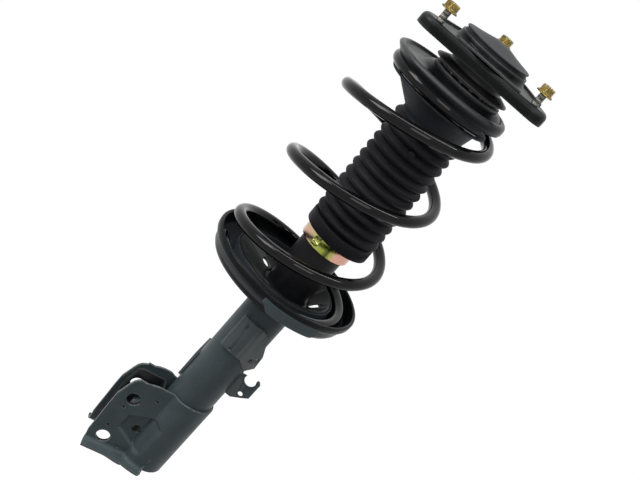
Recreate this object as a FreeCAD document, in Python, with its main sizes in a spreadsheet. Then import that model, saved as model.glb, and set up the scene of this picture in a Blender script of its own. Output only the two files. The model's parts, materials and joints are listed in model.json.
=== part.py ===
import FreeCAD, Part

import math
import os
import re
import Sketcher

# A front suspension strut with its coil spring, as fitted to a small car.
# Origin: centre of the three tower studs, on the top face of the mount plate.
# +Z runs up the piston rod, the knuckle ears point along -X and the knuckle bolts lie along Y.
# All sizes are millimetres and degrees.

DIMS = [
    # tower studs and their nuts
    ("stud_circle", 136.0), ("stud_angle", 71.0), ("stud_dia", 8.0), ("stud_up", 18.8),
    ("stud_head_dia", 13.0), ("stud_head_thick", 3.0), ("stud_tip", 1.0),
    ("stud_press_dia", 8.4), ("thread_mean_dia", 7.2),
    ("nut_across", 13.0), ("nut_tall", 8.5), ("nut_flange_dia", 18.0), ("nut_flange_thick", 2.0),
    ("nut_gap", 12.3), ("nut_chamfer", 1.2),
    # mount plate, its dome and the dust cap
    ("plate_sheet", 3.0), ("plate_lobe", 17.5), ("plate_rim", 13.0), ("plate_bend", 3.5),
    ("dome_dia", 80.0), ("dome_tall", 8.0), ("dome_flare", 4.0), ("dome_flare_tall", 3.0),
    ("dome_hole", 60.0), ("cap_dia", 76.4), ("cap_side", 5.0), ("cap_rise", 11.0), ("cap_wall", 1.6),
    ("cap_flat", 14.0), ("cap_plug", 3.0), ("cap_groove", 1.4),
    # rubber mount inside the dome
    ("cup_deep", 13.0), ("cup_hole", 36.0), ("sleeve_dia", 20.0), ("sleeve_flange", 30.0),
    ("sleeve_flange_thick", 3.0), ("sleeve_top", 1.0), ("sleeve_foot", 12.0),
    ("rod_thread", 12.0), ("rod_end", 15.0), ("rod_nut_across", 18.0), ("rod_nut_tall", 9.0),
    ("washer_dia", 34.0), ("washer_thick", 2.5), ("rubber_dish", 24.0), ("rubber_drop", 1.5),
    # thrust bearing under the mount
    ("neck_dia", 62.0), ("neck_bore", 48.0), ("neck_tall", 9.0), ("race_thick", 2.5),
    ("seal_room", 1.5), ("seal_wall", 2.0), ("seal_tall", 5.0), ("ball_dia", 7.0),
    ("ball_circle", 70.0), ("ball_count", 18.0), ("ball_play", 0.03), ("cage_wide", 7.6),
    ("cage_thick", 2.0), ("cage_play", 0.15), ("low_race_dia", 80.0), ("low_race_bore", 56.0),
    ("low_race_thick", 3.0),
    # piston rod, piston and bump stop
    ("rod_dia", 20.0), ("guide_span", 50.0), ("stop_dia", 29.0), ("stop_tall", 12.0),
    ("stop_gap", 0.4), ("piston_tall", 22.0), ("piston_play", 0.4), ("band_tall", 12.0),
    ("band_deep", 1.8), ("band_play", 0.05), ("piston_nut_across", 18.0), ("piston_nut_tall", 9.0),
    ("rod_tip", 2.0), ("bump_dia", 45.0), ("bump_waist", 35.0), ("bump_tip_dia", 31.0),
    ("bump_long", 84.0), ("bump_play", 0.3),
    # upper spring seat and its rubber
    ("seat_shift", 12.5), ("top_room", 0.8), ("top_rim_tall", 10.7), ("top_rim_z", 37.8),
    ("top_floor_z", 40.0), ("seat_sheet", 3.0), ("hub_dia", 84.0), ("hub_foot", 100.0),
    ("hub_bore", 60.0), ("lip_tall", 2.0), ("lip_wide", 2.6), ("lip_stand", 0.6),
    ("guide_room", 1.1), ("guide_z", 60.0), ("pad_lip", 0.5), ("skirt_wall", 2.5),
    ("collar_dia", 67.0), ("collar_z", 86.0), ("collar_tall", 4.0), ("collar_room", 0.1),
    # dust boot
    ("boot_top", 86.5), ("boot_bottom", 238.5), ("boot_crest", 78.4), ("boot_valley", 69.8),
    ("boot_bore", 66.8), ("boot_ribs", 12.0), ("boot_pitch", 11.3), ("boot_first", 88.5),
    ("boot_cuff", 76.6), ("cuff_bore", 72.6), ("cuff_tall", 14.5), ("boot_lean", 3.5),
    ("boot_angle", -19.0),
    # coil spring
    ("wire_dia", 12.8), ("coil_radius", 75.0), ("coil_shift", 16.0), ("coil_top", 53.0),
    ("coil_bottom", 309.0), ("start_turns", -0.45), ("end_turns", 3.9), ("coil_angle", -19.0),
    ("rise_start_turns", -0.2), ("rise_full_turns", 0.65), ("fall_start_turns", 2.75),
    ("fall_full_turns", 3.5), ("pigtail_radius", 58.5), ("pigtail_start_turns", 2.9),
    ("pigtail_full_turns", 3.25), ("spring_gap", 0.3),
    # damper tubes
    ("tube_dia", 51.0), ("tube_wall", 2.3), ("tube_top", 232.0), ("tube_bottom", 590.0),
    ("tube_lip", 40.0), ("tube_lip_thick", 2.5), ("seal_thick", 5.5), ("guide_thick", 10.0),
    ("spigot", 6.0), ("bore_dia", 32.0), ("bore_wall", 1.5), ("rod_play", 0.05),
    ("cap_thick", 4.0), ("valve_foot", 8.0), ("valve_body", 8.0), ("valve_slot", 5.0),
    ("strike_play", 1.9), ("strike_wall", 2.0), ("strike_skirt", 22.5), ("strike_hole", 25.0),
    ("dimple_dia", 7.0), ("dimple_drop", 14.0), ("dimple_angle", -112.0),
    # lower spring seat and its rubber
    ("low_shift", 13.0), ("rim_room", 1.1), ("low_rim_z", 296.5), ("hem_tall", 10.0),
    ("hem_wide", 4.0), ("low_pad", 2.7), ("low_pad_lip", 1.5), ("low_pad_play", 1.0),
    ("ridge_room", 2.3), ("ridge_wide", 3.4),
    ("ridge_z", 302.5), ("bowl_dia", 58.0), ("bowl_z", 318.0), ("weld_tall", 14.0),
    ("weld_wall", 3.0), ("apron_angle", -107.0), ("apron_span_angle", 46.0), ("apron_top", 299.0),
    ("apron_bottom", 314.5), ("drain_dia", 11.0), ("drain_circle", 86.0),
    # knuckle bracket
    ("sheet", 3.0), ("ear_gap", 30.0), ("ear_reach", 72.5), ("sleeve_tall", 101.5),
    ("sleeve_past", 2.0), ("ear_tall", 110.0), ("ear_corner_x", 61.0), ("ear_corner_drop", 4.5),
    ("ear_side_drop", 34.0), ("ear_foot_x", 62.0), ("ear_past", 13.0), ("ear_heel", 11.0),
    ("bolt_hole", 16.5), ("bolt_in", 19.0), ("bolt_up", 17.5), ("bolt_pitch", 61.0),
    ("pin_hole", 11.0), ("pin_x", 27.5), ("pin_up", 44.0), ("small_hole", 3.4),
    ("gauge_top_in", 22.5), ("gauge_top_up", 13.0), ("gauge_top_out", 3.5), ("gauge_top_down", 14.5),
    ("gauge_low_out", 4.0), ("gauge_low_up", 16.5), ("gauge_low_in", 21.0), ("gauge_low_down", 2.5),
    ("flange_reach", 12.0), ("flange_from", 66.0), ("flange_to", 20.0), ("foot_below", 0.5),
    ("foot_curve_up", 4.0), ("foot_angle", 142.0), ("foot_span_angle", 56.0),
    ("press_deep", 3.5), ("press_wall", 2.5), ("press_out", 18.5), ("press_in", 8.0),
    ("press_side_up", 13.0), ("press_side_down", 6.0), ("press_foot", 19.0), ("press_head", 24.0),
    ("brace_edge", 6.0), ("brace_sheet", 2.5), ("brace_web_x", 30.0), ("window_wide", 30.0),
    ("window_tall", 47.0), ("window_out", 20.0), ("window_down", 21.0),
    # small brackets on the tube
    ("hose_dia", 62.0), ("hose_sheet", 2.5), ("hose_top", 361.0), ("hose_bottom", 405.0),
    ("hose_angle", -138.0), ("hose_span_angle", 53.5), ("wing_angle", 34.0), ("wing_long", 31.0),
    ("wing_drop", 15.0), ("wing_shoulder", 7.7), ("wing_shoulder_drop", 4.0), ("wing_slope", 15.5),
    ("wing_slope_drop", 12.0), ("wing_tip", 28.8), ("wing_tip_drop", 35.0), ("wing_heel", 9.0),
    ("wing_toe", 18.6), ("hose_hole", 4.5), ("hose_hole_in", 6.2), ("hose_hole_up", 3.0),
    ("bead_hole", 5.0), ("bead_in", 15.5), ("bead_up", 1.0),
    ("clip_angle", -19.0), ("clip_reach", 49.0), ("clip_top", 423.5), ("clip_bottom", 461.0),
    ("clip_sheet", 2.5), ("clip_notch", 14.0), ("clip_notch_x", 37.5), ("clip_notch_z", 430.0),
    ("clip_lip", 1.0), ("clip_hole", 6.0), ("clip_hole_x", 38.5), ("clip_hole_z", 450.0),
    ("clip_root_drop", 6.0), ("clip_neck", 5.0), ("clip_neck_drop", 4.0), ("clip_nose", 3.0),
    ("clip_side", 24.0), ("clip_knee", 6.0), ("clip_knee_drop", 29.0), ("clip_foot", 6.0),
    ("tab_lap", 2.0),
    ("link_top", 444.0), ("link_bottom", 479.0), ("link_sheet", 3.0), ("link_foot_in", 6.0),
    ("link_reach", 41.0),
    ("link_hole", 10.5), ("link_hole_in", 11.5), ("link_lap", 6.0),
]

# Heights below the origin that several pieces share
GUIDE_FOOT = "tube_top + tube_lip_thick + seal_thick + guide_thick + spigot"
STOP_TOP = f"{GUIDE_FOOT} + stop_gap"
PISTON_TOP = f"{STOP_TOP} + stop_tall + guide_span"
PISTON_FOOT = f"{PISTON_TOP} + piston_tall"
EAR_FOOT = "tube_bottom + ear_past"
EAR_TOP = "tube_bottom + ear_past - ear_tall"
SLEEVE_FOOT = "tube_bottom + sleeve_past"
BOLT_LOW = "tube_bottom + ear_past - bolt_up"
BOLT_TOP = "tube_bottom + ear_past - bolt_up - bolt_pitch"
PIN_Z = "tube_bottom + ear_past - pin_up"

# Radii of the spring seats, which follow the coil
TOP_RIM = "(pigtail_radius + wire_dia / 2 + top_room + seat_sheet)"
GUIDE_DIA = "(2 * pigtail_radius - wire_dia - 2 * guide_room)"
STRIKE_DIA = "(tube_dia + 2 * strike_play + 2 * strike_wall)"
BOLT_X = "(ear_reach - bolt_in)"
LOW_WALL = "(coil_radius + wire_dia / 2 + coil_shift - low_shift + rim_room)"
LOW_RIDGE = "(coil_radius - wire_dia / 2 - coil_shift + low_shift - ridge_room)"

# Places of the lower seat's drain holes round the tube, in degrees
DRAIN_ANGLES = (-38, 35, 142, 218)

# Section of a turned-out foot: distance outward from the inside of the ear, and height
FOOT_SECTION = [
    ("0", "14"), ("sheet", "14"), ("sheet + 0.8", "6.5"), ("sheet + 4", "sheet"),
    ("sheet + flange_reach", "sheet"), ("sheet + flange_reach", "0"), ("sheet + 3", "0"), ("1", "3")]

doc = FreeCAD.newDocument("strut_assembly")
parts = []


def make_sheet():
    """Put every driving size into a spreadsheet with its own alias."""
    sheet = doc.addObject("Spreadsheet::Sheet", "Dims")
    for row, (alias, value) in enumerate(DIMS, 1):
        sheet.set(f"A{row}", alias)
        sheet.set(f"B{row}", str(value))
        sheet.setAlias(f"B{row}", alias)
    doc.recompute()


def size(alias):
    """A driving size, read from its cell."""
    return float(doc.Dims.get(alias))


def link(text):
    """Point each size named in an expression at its cell."""
    functions = ("cos", "sin", "tan", "sqrt", "deg")
    return re.sub(r"[a-z][a-z_]*", lambda m: m[0] if m[0] in functions else "Dims." + m[0], text)


def bind(obj, **sizes):
    """Bind properties of an object to expressions; two underscores stand for a dot."""
    for name, text in sizes.items():
        obj.setExpression(name.replace("__", "."), link(text))
    return obj


def place(obj, x="0", y="0", z="0", turn=None, axis=(0, 0, 1)):
    """Place an object, with an optional turn about one axis."""
    if turn is not None:
        obj.Placement = FreeCAD.Placement(FreeCAD.Vector(), FreeCAD.Rotation(FreeCAD.Vector(*axis), 1))
        bind(obj, Placement__Rotation__Angle=turn)
    bind(obj, Placement__Base__x=x, Placement__Base__y=y, Placement__Base__z=z)
    return obj


def keep(obj, label):
    """Give a finished sub-part its name and list it for writing."""
    obj.Label = label
    parts.append(obj)
    return obj


def new_body(name):
    return doc.addObject("PartDesign::Body", name)


def plane_of(body, role):
    return next(item for item in body.Origin.OriginFeatures if item.Role == role)


def polygon(body, name, role, points, lift=None):
    """Sketch a closed outline on an origin plane, each corner held by two bound distances."""
    sketch = body.newObject("Sketcher::SketchObject", name)
    sketch.AttachmentSupport = [(plane_of(body, role), "")]
    sketch.MapMode = "FlatFace"
    if lift is not None:
        bind(sketch, AttachmentOffset__Base__z=lift)
    count = len(points)
    ring = [2 * math.pi * index / count for index in range(count)]
    spots = [FreeCAD.Vector(100 + 50 * math.cos(a), 50 * math.sin(a), 0) for a in ring]
    for index in range(count):
        sketch.addGeometry(Part.LineSegment(spots[index], spots[(index + 1) % count]), False)
    for index in range(count):
        sketch.addConstraint(Sketcher.Constraint("Coincident", index, 2, (index + 1) % count, 1))
    for index, (across, up) in enumerate(points):
        for kind, text, start in (("DistanceX", across, spots[index].x), ("DistanceY", up, spots[index].y)):
            number = sketch.addConstraint(Sketcher.Constraint(kind, -1, 1, index, 1, start))
            sketch.setExpression(f"Constraints[{number}]", link(text))
    return sketch


def turned(name, points):
    """A round piece, turned about Z from its half section of (radius, height) corners."""
    body = new_body(name)
    sketch = polygon(body, name + "_section", "XZ_Plane", points)
    doc.recompute()
    spin = body.newObject("PartDesign::Revolution", name + "_turned")
    spin.Profile = sketch
    spin.ReferenceAxis = (sketch, ["V_Axis"])
    spin.Angle = 360
    return body


def padded(name, role, points, depth, lift=None, midplane=False, reverse=False):
    """A flat piece: a polygon on one plane, padded to a depth."""
    body = new_body(name)
    sketch = polygon(body, name + "_outline", role, points, lift)
    doc.recompute()
    pad = body.newObject("PartDesign::Pad", name + "_pad")
    pad.Profile = sketch
    bind(pad, Length=depth)
    pad.Midplane = midplane
    pad.Reversed = reverse
    return body


def cylinder(name, dia, tall, x="0", y="0", z="0", sector=None, turn=None, axis=(0, 0, 1)):
    obj = doc.addObject("Part::Cylinder", name)
    bind(obj, Radius=f"({dia}) / 2", Height=tall)
    if sector is not None:
        bind(obj, Angle=sector)
    return place(obj, x, y, z, turn, axis)


def box(name, long, wide, tall, x="0", y="0", z="0", turn=None):
    obj = doc.addObject("Part::Box", name)
    bind(obj, Length=long, Width=wide, Height=tall)
    return place(obj, x, y, z, turn)


def cut(name, base, tool):
    obj = doc.addObject("Part::Cut", name)
    obj.Base = base
    obj.Tool = tool
    return obj


def fuse(name, shapes):
    obj = doc.addObject("Part::MultiFuse", name)
    obj.Shapes = shapes
    return obj


def common(name, shapes):
    obj = doc.addObject("Part::MultiCommon", name)
    obj.Shapes = shapes
    return obj


def group(name, shapes):
    """Separate solids of one kind that share a node."""
    obj = doc.addObject("Part::Compound", name)
    obj.Links = shapes
    return obj


def circle_loft(name, rings):
    """A ruled solid through circles of (diameter, x, z)."""
    circles = []
    for index, (dia, x, z) in enumerate(rings):
        ring = doc.addObject("Part::Circle", f"{name}_ring{index}")
        bind(ring, Radius=f"({dia}) / 2")
        circles.append(place(ring, x=x, z=z))
    loft = doc.addObject("Part::Loft", name)
    loft.Sections = circles
    loft.Solid = True
    loft.Ruled = True
    return loft


def hex_nut(name, across, tall, bore, chamfer, flange=None, x="0", y="0", z="0"):
    """A hexagon nut with a chamfered crown, and a round flange if one is given."""
    prism = doc.addObject("Part::Prism", name + "_hexagon")
    prism.Polygon = 6
    bind(prism, Circumradius=f"({across}) / sqrt(3)", Height=tall)
    corner = f"({across}) / sqrt(3)"
    crown = turned(name + "_crown", [
        ("0", "0"), (f"{corner} + {chamfer}", "0"), (f"{corner} + {chamfer}", f"{tall} - {chamfer}"),
        (f"({across}) / 2 - {chamfer} / 4", tall), ("0", tall)])
    solid = common(name + "_crowned", [prism, crown])
    if flange is not None:
        dia, thick = flange
        foot = turned(name + "_flange", [
            ("0", "0"), (f"{dia} / 2", "0"), (f"{dia} / 2", f"{thick} / 2"),
            (f"({across}) / 2", f"{thick} * 1.4"), ("0", f"{thick} * 1.4")])
        solid = fuse(name + "_flanged", [solid, foot])
    hole = cylinder(name + "_bore", bore, f"{tall} + 2", z="-1")
    return place(cut(name, solid, hole), x, y, z)


def rounded_triangle(body, name, corner, lift=None):
    """Outline of the mount plate: one round lobe about each stud, joined by straight sides."""
    sketch = body.newObject("Sketcher::SketchObject", name)
    sketch.AttachmentSupport = [(plane_of(body, "XY_Plane"), "")]
    sketch.MapMode = "FlatFace"
    if lift is not None:
        bind(sketch, AttachmentOffset__Base__z=lift)
    reach = size("stud_circle") / 2
    start_radius = size("plate_lobe")
    for lobe in range(3):
        turn = math.radians(120 * lobe)
        centre = FreeCAD.Vector(reach * math.cos(turn), reach * math.sin(turn), 0)
        round_lobe = Part.Circle(centre, FreeCAD.Vector(0, 0, 1), start_radius)
        sketch.addGeometry(Part.ArcOfCircle(round_lobe, turn - math.pi / 3, turn + math.pi / 3), False)
    for lobe in range(3):
        side = math.radians(120 * lobe + 60)
        offset = FreeCAD.Vector(start_radius * math.cos(side), start_radius * math.sin(side), 0)
        ends = [math.radians(120 * lobe), math.radians(120 * lobe + 120)]
        spots = [FreeCAD.Vector(reach * math.cos(a), reach * math.sin(a), 0) + offset for a in ends]
        sketch.addGeometry(Part.LineSegment(*spots), False)
    for lobe in range(3):
        sketch.addConstraint(Sketcher.Constraint("Tangent", lobe, 2, 3 + lobe, 1))
        sketch.addConstraint(Sketcher.Constraint("Tangent", 3 + lobe, 2, (lobe + 1) % 3, 1))
    for lobe in range(3):
        turn = 120 * lobe
        x = reach * math.cos(math.radians(turn))
        y = reach * math.sin(math.radians(turn))
        for kind, start, text in (
                ("DistanceX", x, f"stud_circle / 2 * cos({turn} deg)"),
                ("DistanceY", y, f"stud_circle / 2 * sin({turn} deg)")):
            number = sketch.addConstraint(Sketcher.Constraint(kind, -1, 1, lobe, 3, start))
            sketch.setExpression(f"Constraints[{number}]", link(text))
        number = sketch.addConstraint(Sketcher.Constraint("Radius", lobe, start_radius))
        sketch.setExpression(f"Constraints[{number}]", link(corner))
    return sketch


def add_turned(body, name, kind, points):
    """Add or remove material on a body by turning a section about Z."""
    sketch = polygon(body, name + "_section", "XZ_Plane", points)
    doc.recompute()
    spin = body.newObject(kind, name)
    spin.Profile = sketch
    spin.ReferenceAxis = (sketch, ["V_Axis"])
    spin.Angle = 360
    doc.recompute()
    return spin


def make_mount_plate():
    body = new_body("mount_plate_body")
    pad = body.newObject("PartDesign::Pad", "plate_pad")
    pad.Profile = rounded_triangle(body, "plate_outline", "plate_lobe")
    bind(pad, Length="plate_rim")
    pad.Reversed = True
    doc.recompute()
    top = [f"Edge{index}" for index, edge in enumerate(pad.Shape.Edges, 1)
           if all(abs(vertex.Z) < 1e-6 for vertex in edge.Vertexes)]
    bend = body.newObject("PartDesign::Fillet", "plate_rim_bend")
    bend.Base = (pad, top)
    bind(bend, Radius="plate_bend")
    doc.recompute()
    hollow = body.newObject("PartDesign::Pocket", "plate_hollow")
    hollow.Profile = rounded_triangle(body, "hollow_outline", "plate_lobe - plate_sheet", "-plate_rim")
    bind(hollow, Length="plate_rim - plate_sheet")
    hollow.Reversed = True
    doc.recompute()
    dome_r = "dome_dia / 2"
    add_turned(body, "dome_wall", "PartDesign::Revolution", [
        ("dome_hole / 2", "-plate_sheet"), (f"{dome_r} + dome_flare", "-plate_sheet"),
        (f"{dome_r} + dome_flare", "0"), (f"{dome_r} + dome_flare / 4", "dome_flare_tall / 3"),
        (dome_r, "dome_flare_tall"), (dome_r, "dome_tall"), ("dome_hole / 2", "dome_tall")])
    inner_r = f"{dome_r} - plate_sheet"
    add_turned(body, "dome_inside", "PartDesign::Groove", [
        ("0", "-plate_rim - 1"), (inner_r, "-plate_rim - 1"), (inner_r, "dome_tall - plate_sheet"),
        ("dome_hole / 2", "dome_tall - plate_sheet"), ("dome_hole / 2", "dome_tall + 1"),
        ("0", "dome_tall + 1")])
    hole = body.newObject("PartDesign::Pocket", "stud_hole")
    sketch = body.newObject("Sketcher::SketchObject", "stud_hole_circle")
    sketch.AttachmentSupport = [(plane_of(body, "XY_Plane"), "")]
    sketch.MapMode = "FlatFace"
    bind(sketch, AttachmentOffset__Base__z="1")
    centre = FreeCAD.Vector(size("stud_circle") / 2, 0, 0)
    start_radius = size("stud_press_dia") / 2
    sketch.addGeometry(Part.Circle(centre, FreeCAD.Vector(0, 0, 1), start_radius), False)
    number = sketch.addConstraint(Sketcher.Constraint("DistanceX", -1, 1, 0, 3, centre.x))
    sketch.setExpression(f"Constraints[{number}]", link("stud_circle / 2"))
    sketch.addConstraint(Sketcher.Constraint("PointOnObject", 0, 3, -1))
    number = sketch.addConstraint(Sketcher.Constraint("Radius", 0, start_radius))
    sketch.setExpression(f"Constraints[{number}]", link("stud_press_dia / 2"))
    hole.Profile = sketch
    bind(hole, Length="plate_sheet + 2")
    doc.recompute()
    ring = body.newObject("PartDesign::PolarPattern", "stud_holes")
    ring.Originals = [hole]
    ring.Axis = (sketch, ["N_Axis"])
    ring.Angle = 360
    ring.Occurrences = 3
    body.Tip = ring
    place(body, turn="stud_angle")
    return keep(body, "mount_plate")


def stud_spot(index):
    turn = f"(stud_angle + {120 * index}) * 1 deg"
    return f"stud_circle / 2 * cos({turn})", f"stud_circle / 2 * sin({turn})"


def make_tower_studs():
    """Studs with a pressed shank in the plate; in its nut a stud has the thread's mean diameter."""
    under = "-plate_sheet - stud_head_thick"
    studs = []
    for index in range(3):
        x, y = stud_spot(index)
        stud = turned(f"stud{index}", [
            ("0", under), ("stud_head_dia / 2", under), ("stud_head_dia / 2", "-plate_sheet"),
            ("stud_press_dia / 2", "-plate_sheet"), ("stud_press_dia / 2", "0"), ("stud_dia / 2", "0"),
            ("stud_dia / 2", "nut_gap"), ("thread_mean_dia / 2", "nut_gap"),
            ("thread_mean_dia / 2", "stud_up - stud_tip"), ("thread_mean_dia / 2 - stud_tip", "stud_up"),
            ("0", "stud_up")])
        studs.append(place(stud, x, y))
    return keep(group("stud_group", studs), "tower_studs")


def make_stud_nuts():
    nuts = []
    for index in range(3):
        x, y = stud_spot(index)
        nuts.append(hex_nut(f"stud_nut{index}", "nut_across", "nut_tall", "thread_mean_dia", "nut_chamfer",
                            ("nut_flange_dia", "nut_flange_thick"), x, y, "nut_gap"))
    return keep(group("nut_group", nuts), "stud_nuts")


def make_dust_cap():
    rim = "dome_tall + cap_side"
    outer = "cap_dia / 2"
    plug = "dome_hole / 2"
    cap = turned("cap_body", [
        (f"{plug} - cap_wall", "dome_tall - cap_plug"), (plug, "dome_tall - cap_plug"), (plug, "dome_tall"),
        (f"{outer} - 0.4", "dome_tall"), (f"{outer} - 0.4", "dome_tall + cap_side * 0.26"),
        (f"{outer} - cap_groove", "dome_tall + cap_side * 0.36"),
        (f"{outer} - cap_groove", "dome_tall + cap_side * 0.62"),
        (outer, "dome_tall + cap_side * 0.74"), (outer, rim),
        ("cap_flat / 2", "dome_tall + cap_rise"), ("0", "dome_tall + cap_rise"),
        ("0", "dome_tall + cap_rise - cap_wall"), ("cap_flat / 2", "dome_tall + cap_rise - cap_wall"),
        (f"{plug} - cap_wall", rim)])
    return keep(cap, "dust_cap")


def make_rubber_mount():
    """Inner sleeve, bonded rubber and lower cup, held in the dome of the mount plate."""
    keep(turned("sleeve_body", [
        ("rod_thread / 2", "-sleeve_foot"), ("sleeve_flange / 2", "-sleeve_foot"),
        ("sleeve_flange / 2", "-sleeve_foot + sleeve_flange_thick"),
        ("sleeve_dia / 2", "-sleeve_foot + sleeve_flange_thick"), ("sleeve_dia / 2", "sleeve_top"),
        ("rod_thread / 2", "sleeve_top")]), "mount_sleeve")
    inside = "dome_dia / 2 - plate_sheet"
    floor = "-cup_deep + plate_sheet"
    keep(turned("rubber_body", [
        ("sleeve_dia / 2", "-sleeve_foot + sleeve_flange_thick"),
        ("sleeve_flange / 2", "-sleeve_foot + sleeve_flange_thick"),
        ("cup_hole / 2", floor), (inside, floor), (inside, "dome_tall - plate_sheet"),
        ("dome_hole / 2", "dome_tall - plate_sheet"), ("rubber_dish", "sleeve_top - rubber_drop / 2"),
        ("sleeve_dia / 2", "sleeve_top - rubber_drop")]), "mount_rubber")
    keep(turned("cup_body", [
        (inside, "-plate_sheet"), ("dome_dia / 2", "-plate_sheet"), ("dome_dia / 2", "-cup_deep"),
        ("cup_hole / 2", "-cup_deep"), ("cup_hole / 2", floor), (inside, floor)]), "mount_cup")
    keep(turned("washer_body", [
        ("rod_thread / 2", "sleeve_top"), ("washer_dia / 2", "sleeve_top"),
        ("washer_dia / 2", "sleeve_top + washer_thick"), ("rod_thread / 2", "sleeve_top + washer_thick")]),
        "rod_washer")
    nut = hex_nut("rod_nut_solid", "rod_nut_across", "rod_nut_tall", "rod_thread", "nut_chamfer",
                  z="sleeve_top + washer_thick")
    keep(nut, "rod_nut")


def race_top():
    """Height of the flat under the upper race, where the balls run."""
    return "-cup_deep - neck_tall - race_thick"


def make_bearing():
    top = "-cup_deep"
    under = race_top()
    flange = "-cup_deep - neck_tall"
    lip = "low_race_dia / 2 + seal_room"
    keep(turned("upper_race_body", [
        ("neck_bore / 2", top), ("neck_dia / 2", top), ("neck_dia / 2", flange),
        (f"{lip} + seal_wall", flange), (f"{lip} + seal_wall", f"{flange} - seal_tall"),
        (lip, f"{flange} - seal_tall"), (lip, under), ("neck_bore / 2", under)]), "bearing_upper_race")
    balls = []
    pockets = []
    middle = f"{under} - ball_dia / 2"
    count = int(size("ball_count"))
    for index in range(count):
        turn = f"{index} * 360 / ball_count * 1 deg"
        spot = (f"ball_circle / 2 * cos({turn})", f"ball_circle / 2 * sin({turn})", middle)
        ball = doc.addObject("Part::Sphere", f"ball{index}")
        bind(ball, Radius="ball_dia / 2 - ball_play")
        balls.append(place(ball, *spot))
        pocket = doc.addObject("Part::Sphere", f"pocket{index}")
        bind(pocket, Radius="ball_dia / 2 + cage_play")
        pockets.append(place(pocket, *spot))
    keep(group("ball_group", balls), "bearing_balls")
    ring = turned("cage_ring", [
        ("ball_circle / 2 - cage_wide / 2", f"{middle} - cage_thick / 2"),
        ("ball_circle / 2 + cage_wide / 2", f"{middle} - cage_thick / 2"),
        ("ball_circle / 2 + cage_wide / 2", f"{middle} + cage_thick / 2"),
        ("ball_circle / 2 - cage_wide / 2", f"{middle} + cage_thick / 2")])
    keep(cut("cage_cut", ring, fuse("pocket_group", pockets)), "bearing_cage")
    low = f"{under} - ball_dia"
    keep(turned("lower_race_body", [
        ("low_race_bore / 2", low), ("low_race_dia / 2", low),
        ("low_race_dia / 2", f"{low} - low_race_thick"),
        ("low_race_bore / 2", f"{low} - low_race_thick")]), "bearing_lower_race")


def make_rod():
    """Piston rod with its piston, piston ring, nuts and stops."""
    keep(turned("rod_body", [
        ("0", f"-({PISTON_FOOT} + piston_nut_tall + rod_tip)"),
        ("rod_thread / 2", f"-({PISTON_FOOT} + piston_nut_tall + rod_tip)"),
        ("rod_thread / 2", f"-({PISTON_TOP})"), ("rod_dia / 2", f"-({PISTON_TOP})"),
        ("rod_dia / 2", "-sleeve_foot"), ("rod_thread / 2", "-sleeve_foot"), ("rod_thread / 2", "rod_end"),
        ("0", "rod_end")]), "piston_rod")
    keep(turned("stop_body", [
        ("rod_dia / 2", f"-({STOP_TOP} + stop_tall)"), ("stop_dia / 2", f"-({STOP_TOP} + stop_tall)"),
        ("stop_dia / 2", f"-({STOP_TOP})"), ("rod_dia / 2", f"-({STOP_TOP})")]), "rebound_stop")
    outer = "bore_dia / 2 - piston_play"
    middle = f"{PISTON_TOP} + piston_tall / 2"
    keep(turned("piston_body", [
        ("rod_thread / 2", f"-({PISTON_FOOT})"), (outer, f"-({PISTON_FOOT})"),
        (outer, f"-({middle} + band_tall / 2)"), (f"{outer} - band_deep", f"-({middle} + band_tall / 2)"),
        (f"{outer} - band_deep", f"-({middle} - band_tall / 2)"), (outer, f"-({middle} - band_tall / 2)"),
        (outer, f"-({PISTON_TOP})"), ("rod_thread / 2", f"-({PISTON_TOP})")]), "piston")
    keep(turned("band_body", [
        (f"{outer} - band_deep", f"-({middle} + band_tall / 2)"),
        ("bore_dia / 2 - band_play", f"-({middle} + band_tall / 2)"),
        ("bore_dia / 2 - band_play", f"-({middle} - band_tall / 2)"),
        (f"{outer} - band_deep", f"-({middle} - band_tall / 2)")]), "piston_ring")
    nut = hex_nut("piston_nut_solid", "piston_nut_across", "piston_nut_tall", "rod_thread", "nut_chamfer",
                  z=f"-({PISTON_FOOT} + piston_nut_tall)")
    keep(nut, "piston_nut")


def make_bump_stop():
    """Foam stop round the rod: three bulges, each a little slimmer, and a tip."""
    bore = "rod_dia / 2 + bump_play"
    top = "cup_deep"
    steps = [
        ("bump_dia / 2", 0.0), ("bump_dia / 2", 0.18), ("bump_waist / 2", 0.26),
        ("bump_dia / 2 - 1", 0.36), ("bump_dia / 2 - 1", 0.46), ("bump_waist / 2", 0.54),
        ("bump_dia / 2 - 2", 0.64), ("bump_dia / 2 - 2", 0.74), ("bump_waist / 2 - 1", 0.82),
        ("bump_tip_dia / 2", 0.90), ("bump_tip_dia / 2 - 1.5", 1.0)]
    outline = [(radius, f"-({top} + bump_long * {share})") for radius, share in steps]
    outline += [(bore, f"-({top} + bump_long)"), (bore, f"-({top})")]
    keep(turned("bump_body", outline), "bump_stop")


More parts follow.
